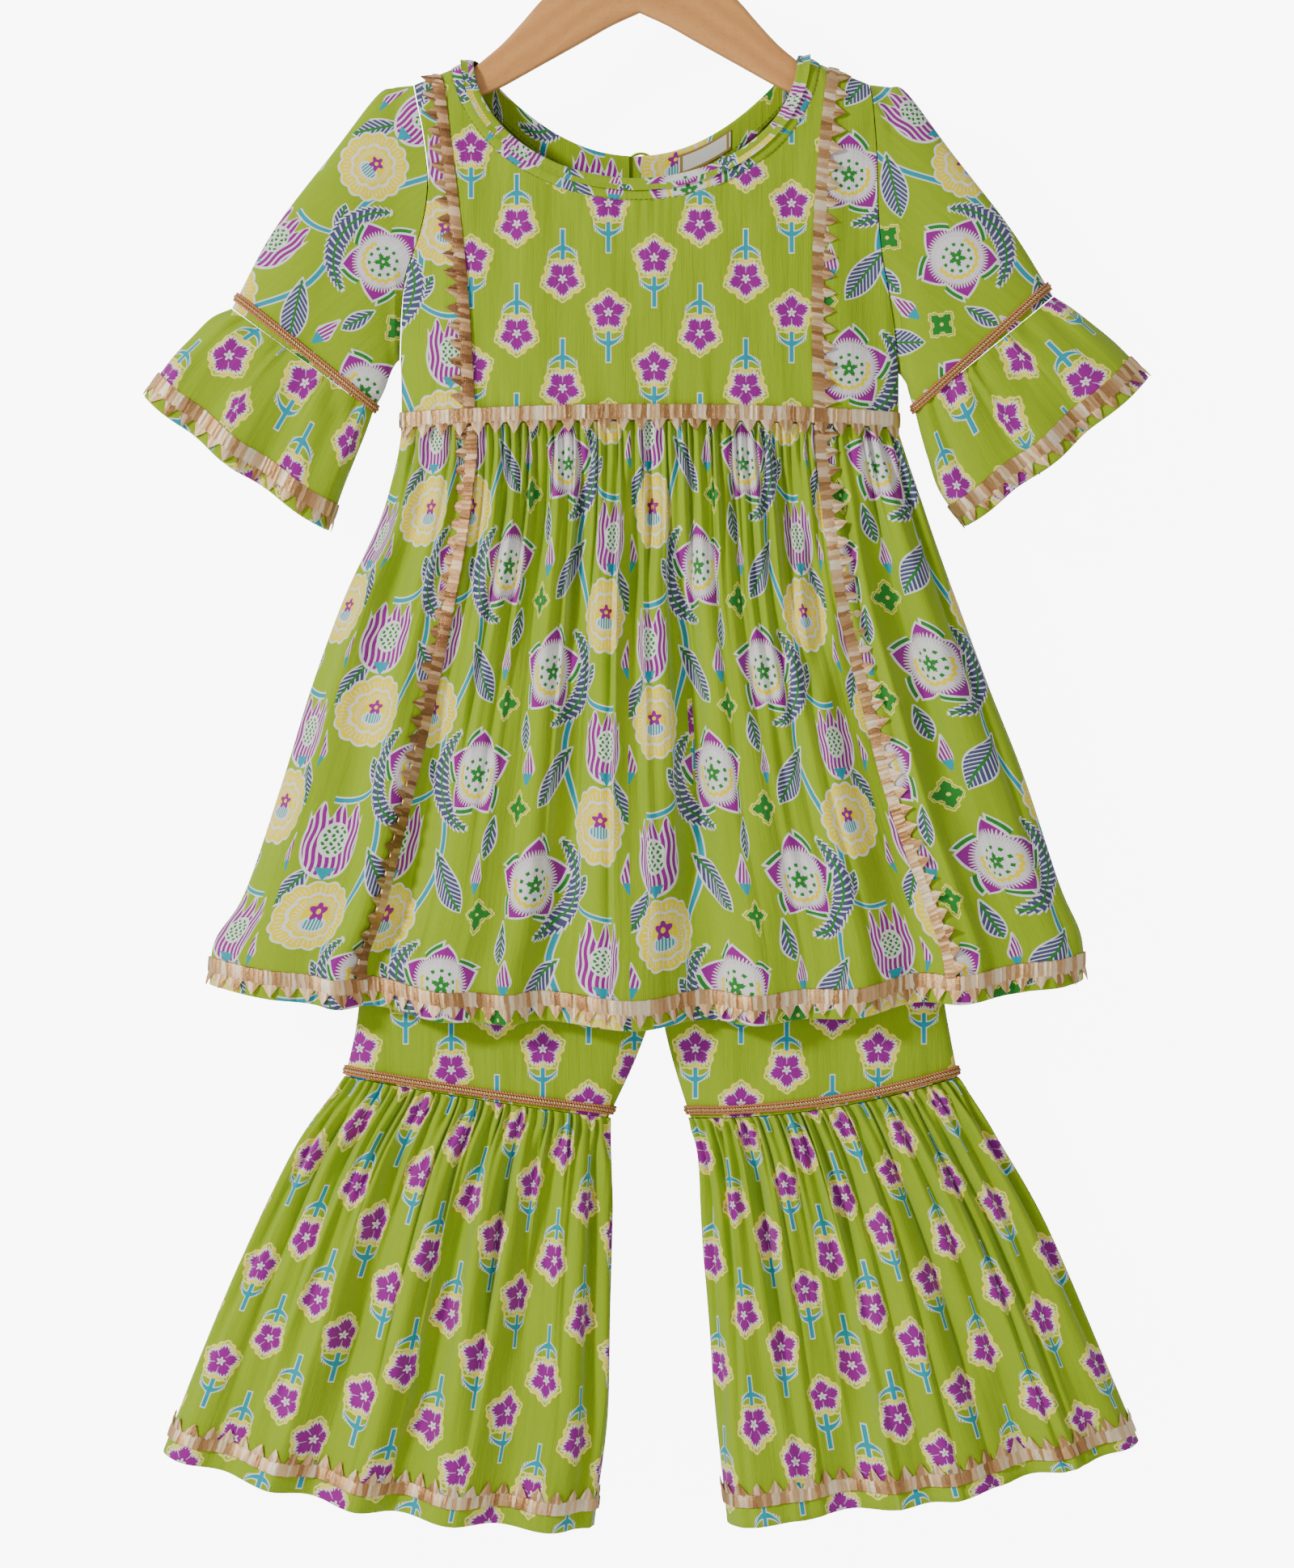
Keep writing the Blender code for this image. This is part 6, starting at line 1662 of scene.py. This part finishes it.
def hanger_arms():
    """The wooden arms: a smooth outline with rounded edges."""
    keys = np.linspace(0.0, len(HANGER) - 1, 90)
    marks = np.arange(len(HANGER))
    x = np.interp(keys, marks, [row.x for row in HANGER])
    top = np.interp(keys, marks, smooth(marks, [row.top for row in HANGER], marks))
    top = smooth([row.x for row in HANGER], [row.top for row in HANGER], x)
    under = smooth([row.x for row in HANGER], [row.underside for row in HANGER], x)
    x = np.concatenate([-x[::-1], x[1:]])
    top = np.concatenate([top[::-1], top[1:]])
    under = np.concatenate([under[::-1], under[1:]])
    half = HANGER_THICKNESS / 2
    profile = []
    for turn in np.linspace(0.0, 2 * math.pi, 25)[:-1]:
        cosine_turn, sine_turn = math.cos(turn), math.sin(turn)
        profile.append((math.copysign(abs(cosine_turn) ** 0.45, cosine_turn),
                        math.copysign(abs(sine_turn) ** 0.30, sine_turn)))
    profile.append(profile[0])
    middle, reach = (top + under) / 2, (top - under) / 2
    slope = np.gradient(middle, x)
    vertices, places = [], []
    length = np.cumsum(np.hypot(np.gradient(x), np.gradient(middle)))
    for out, up in profile:
        vertices.append(np.stack([x, np.full_like(x, half * out), middle + reach * up], axis=1))
        places.append(np.stack([length, reach * up + slope * 0.0], axis=1))
    points = np.concatenate(vertices)
    faces = grid_faces(len(profile), len(x)).tolist()
    count = len(profile) - 1
    faces.append(tuple(step * len(x) for step in range(count)))
    faces.append(tuple(step * len(x) + len(x) - 1 for step in reversed(range(count))))
    thing = mesh_object("hanger_wood", points, faces, np.concatenate(places), "beech", 50.0)
    show(thing, ["hanger_arms"])


def hanger_hook():
    centre_z = -HOOK_RADIUS + HOOK_WIRE / 2
    path = [(0.0, -72.6), (0.0, -64.0), (0.0, -56.0), (1.2, -48.0), (6.6, -39.6), (13.6, -32.0)]
    for step in range(14):
        angle = math.radians(-22 + 17.5 * step)
        path.append((HOOK_RADIUS * math.cos(angle), centre_z + HOOK_RADIUS * math.sin(angle)))
    path = np.array(path)
    keys = np.linspace(0, len(path) - 1, 140)
    marks = np.arange(len(path))
    line = np.stack([smooth(marks, path[:, 0], keys), np.zeros(140), smooth(marks, path[:, 1], keys)], axis=1)
    out = np.tile([0.0, 1.0, 0.0], (140, 1))
    side = unit(np.cross(np.gradient(line, axis=0), out))
    rings, places = [], []
    sides = 16
    taper = np.ones(140)
    taper[-3:] = (0.92, 0.75, 0.35)
    for step in range(sides + 1):
        angle = 2 * math.pi * step / sides
        rings.append(line + (side * math.cos(angle) + out * math.sin(angle)) * (HOOK_WIRE / 2 * taper)[:, None])
        places.append(np.stack([keys, np.full(140, angle)], axis=1))
    thing = mesh_object("hook_wire", np.concatenate(rings), grid_faces(sides + 1, 140), np.concatenate(places),
                        "steel")
    show(thing, ["hanger_hook"])


def plain_nodes():
    """The ribbons that carry the gharara keep their solids and take a woven finish."""
    for name in ("hanger_loop_left", "hanger_loop_right"):
        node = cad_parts[name]
        layer = node.data.uv_layers.new(name="flat")
        for loop in node.data.loops:
            place = node.data.vertices[loop.vertex_index].co
            layer.data[loop.index].uv = (place.x, place.z)
        node.data.materials.clear()
        node.data.materials.append(MATERIALS["tape"])


# Camera, light and backdrop

def camera():
    lens = bpy.data.cameras.new("camera")
    lens.sensor_fit = "VERTICAL"
    lens.sensor_height = 36.0
    height = VIEW_WIDTH * PHOTO_SIZE[1] / PHOTO_SIZE[0]
    lens.lens = 36.0 * CAMERA_DISTANCE / height
    lens.clip_end = 50.0
    thing = bpy.data.objects.new("camera", lens)
    thing.location = (VIEW_CENTRE[0], -CAMERA_DISTANCE, VIEW_CENTRE[1])
    thing.rotation_euler = (math.radians(90), 0.0, 0.0)
    bpy.context.scene.collection.objects.link(thing)
    bpy.context.scene.camera = thing


def area_light(name, place, target, size, energy, tint=(1.0, 1.0, 1.0)):
    data = bpy.data.lights.new(name, "AREA")
    data.shape = "DISK"
    data.size = size
    data.energy = energy
    data.color = tint
    thing = bpy.data.objects.new(name, data)
    thing.location = place
    direction = Vector(target) - Vector(place)
    thing.rotation_euler = direction.to_track_quat("-Z", "Y").to_euler()
    bpy.context.scene.collection.objects.link(thing)


def lights():
    world = bpy.data.worlds.new("studio")
    world.use_nodes = True
    background = world.node_tree.nodes["Background"]
    background.inputs["Color"].default_value = (1.0, 1.0, 1.0, 1.0)
    background.inputs["Strength"].default_value = 0.37
    bpy.context.scene.world = world
    area_light("key", (-2.0, -1.7, 0.55), (0.0, 0.0, -0.5), 0.45, 62.0, (1.0, 0.985, 0.95))
    area_light("fill", (1.6, -2.4, -0.4), (0.0, 0.0, -0.5), 1.6, 5.0)


def stage_material(name, glow):
    """A pale surface seen from in front only, whose glow the picture shows but the suit doesn't get."""
    made = bpy.data.materials.new(name)
    made.use_nodes = True
    tree = made.node_tree
    shader = tree.nodes["Principled BSDF"]
    shader.inputs["Base Color"].default_value = (0.93, 0.93, 0.93, 1.0)
    shader.inputs["Roughness"].default_value = 0.95
    shader.inputs["Specular IOR Level"].default_value = 0.0
    shader.inputs["Emission Color"].default_value = (1.0, 1.0, 1.0, 1.0)
    path = tree.nodes.new("ShaderNodeLightPath")
    strength = Number(tree, path.outputs["Is Camera Ray"]) * glow
    tree.links.new(strength.value, shader.inputs["Emission Strength"])
    clear = tree.nodes.new("ShaderNodeBsdfTransparent")
    choose = tree.nodes.new("ShaderNodeMixShader")
    geometry = tree.nodes.new("ShaderNodeNewGeometry")
    tree.links.new(geometry.outputs["Backfacing"], choose.inputs[0])
    tree.links.new(shader.outputs[0], choose.inputs[1])
    tree.links.new(clear.outputs[0], choose.inputs[2])
    tree.links.new(choose.outputs[0], tree.nodes["Material Output"].inputs["Surface"])
    return made


def backdrop():
    """A bright wall just behind the suit that bends into a pale floor."""
    wall = CAD_BOX[1][1] + WALL_GAP
    floor = CAD_BOX[0][2] - 0.45
    radius = 0.30
    outline = [(wall, 1.4)]
    for step in range(13):
        angle = math.pi / 2 * step / 12
        outline.append((wall - radius + radius * math.cos(angle), floor + radius - radius * math.sin(angle)))
    outline.append((wall - 4.5, floor))
    mesh = bpy.data.meshes.new("backdrop")
    points = [(x, y, z) for y, z in outline for x in (-3.5, 3.5)]
    faces = [(2 * step, 2 * step + 1, 2 * step + 3, 2 * step + 2) for step in range(len(outline) - 1)]
    mesh.from_pydata(points, [], faces)
    mesh.materials.append(stage_material("backdrop_wall", WALL_GLOW))
    mesh.materials.append(stage_material("backdrop_floor", 0.0))
    for face in mesh.polygons[1:]:
        face.material_index = 1
    mesh.shade_smooth()
    if mesh.polygons[0].normal.y > 0:
        mesh.flip_normals()
    thing = bpy.data.objects.new("backdrop", mesh)
    bpy.context.scene.collection.objects.link(thing)


def main():
    camera()
    lights()
    backdrop()
    kurta_bodice()
    back_neck()
    bodice_laces()
    skirt()
    sleeve("left", LEFT_SLEEVE, LEFT_RUFFLE, LEFT_ARMHOLE, -1, Line(163.0, -129.6), 5)
    sleeve("right", RIGHT_SLEEVE, RIGHT_RUFFLE, RIGHT_ARMHOLE, 1, Line(170.0, 139.6), 9)
    waistband()
    leg("left", LEFT_THIGH, LEFT_FLARE, LEFT_FLARE_FOLDS, LEFT_FLARE_CREASES, 12)
    leg("right", RIGHT_THIGH, RIGHT_FLARE, RIGHT_FLARE_FOLDS, RIGHT_FLARE_CREASES, 17)
    hanger_arms()
    hanger_hook()
    plain_nodes()


main()
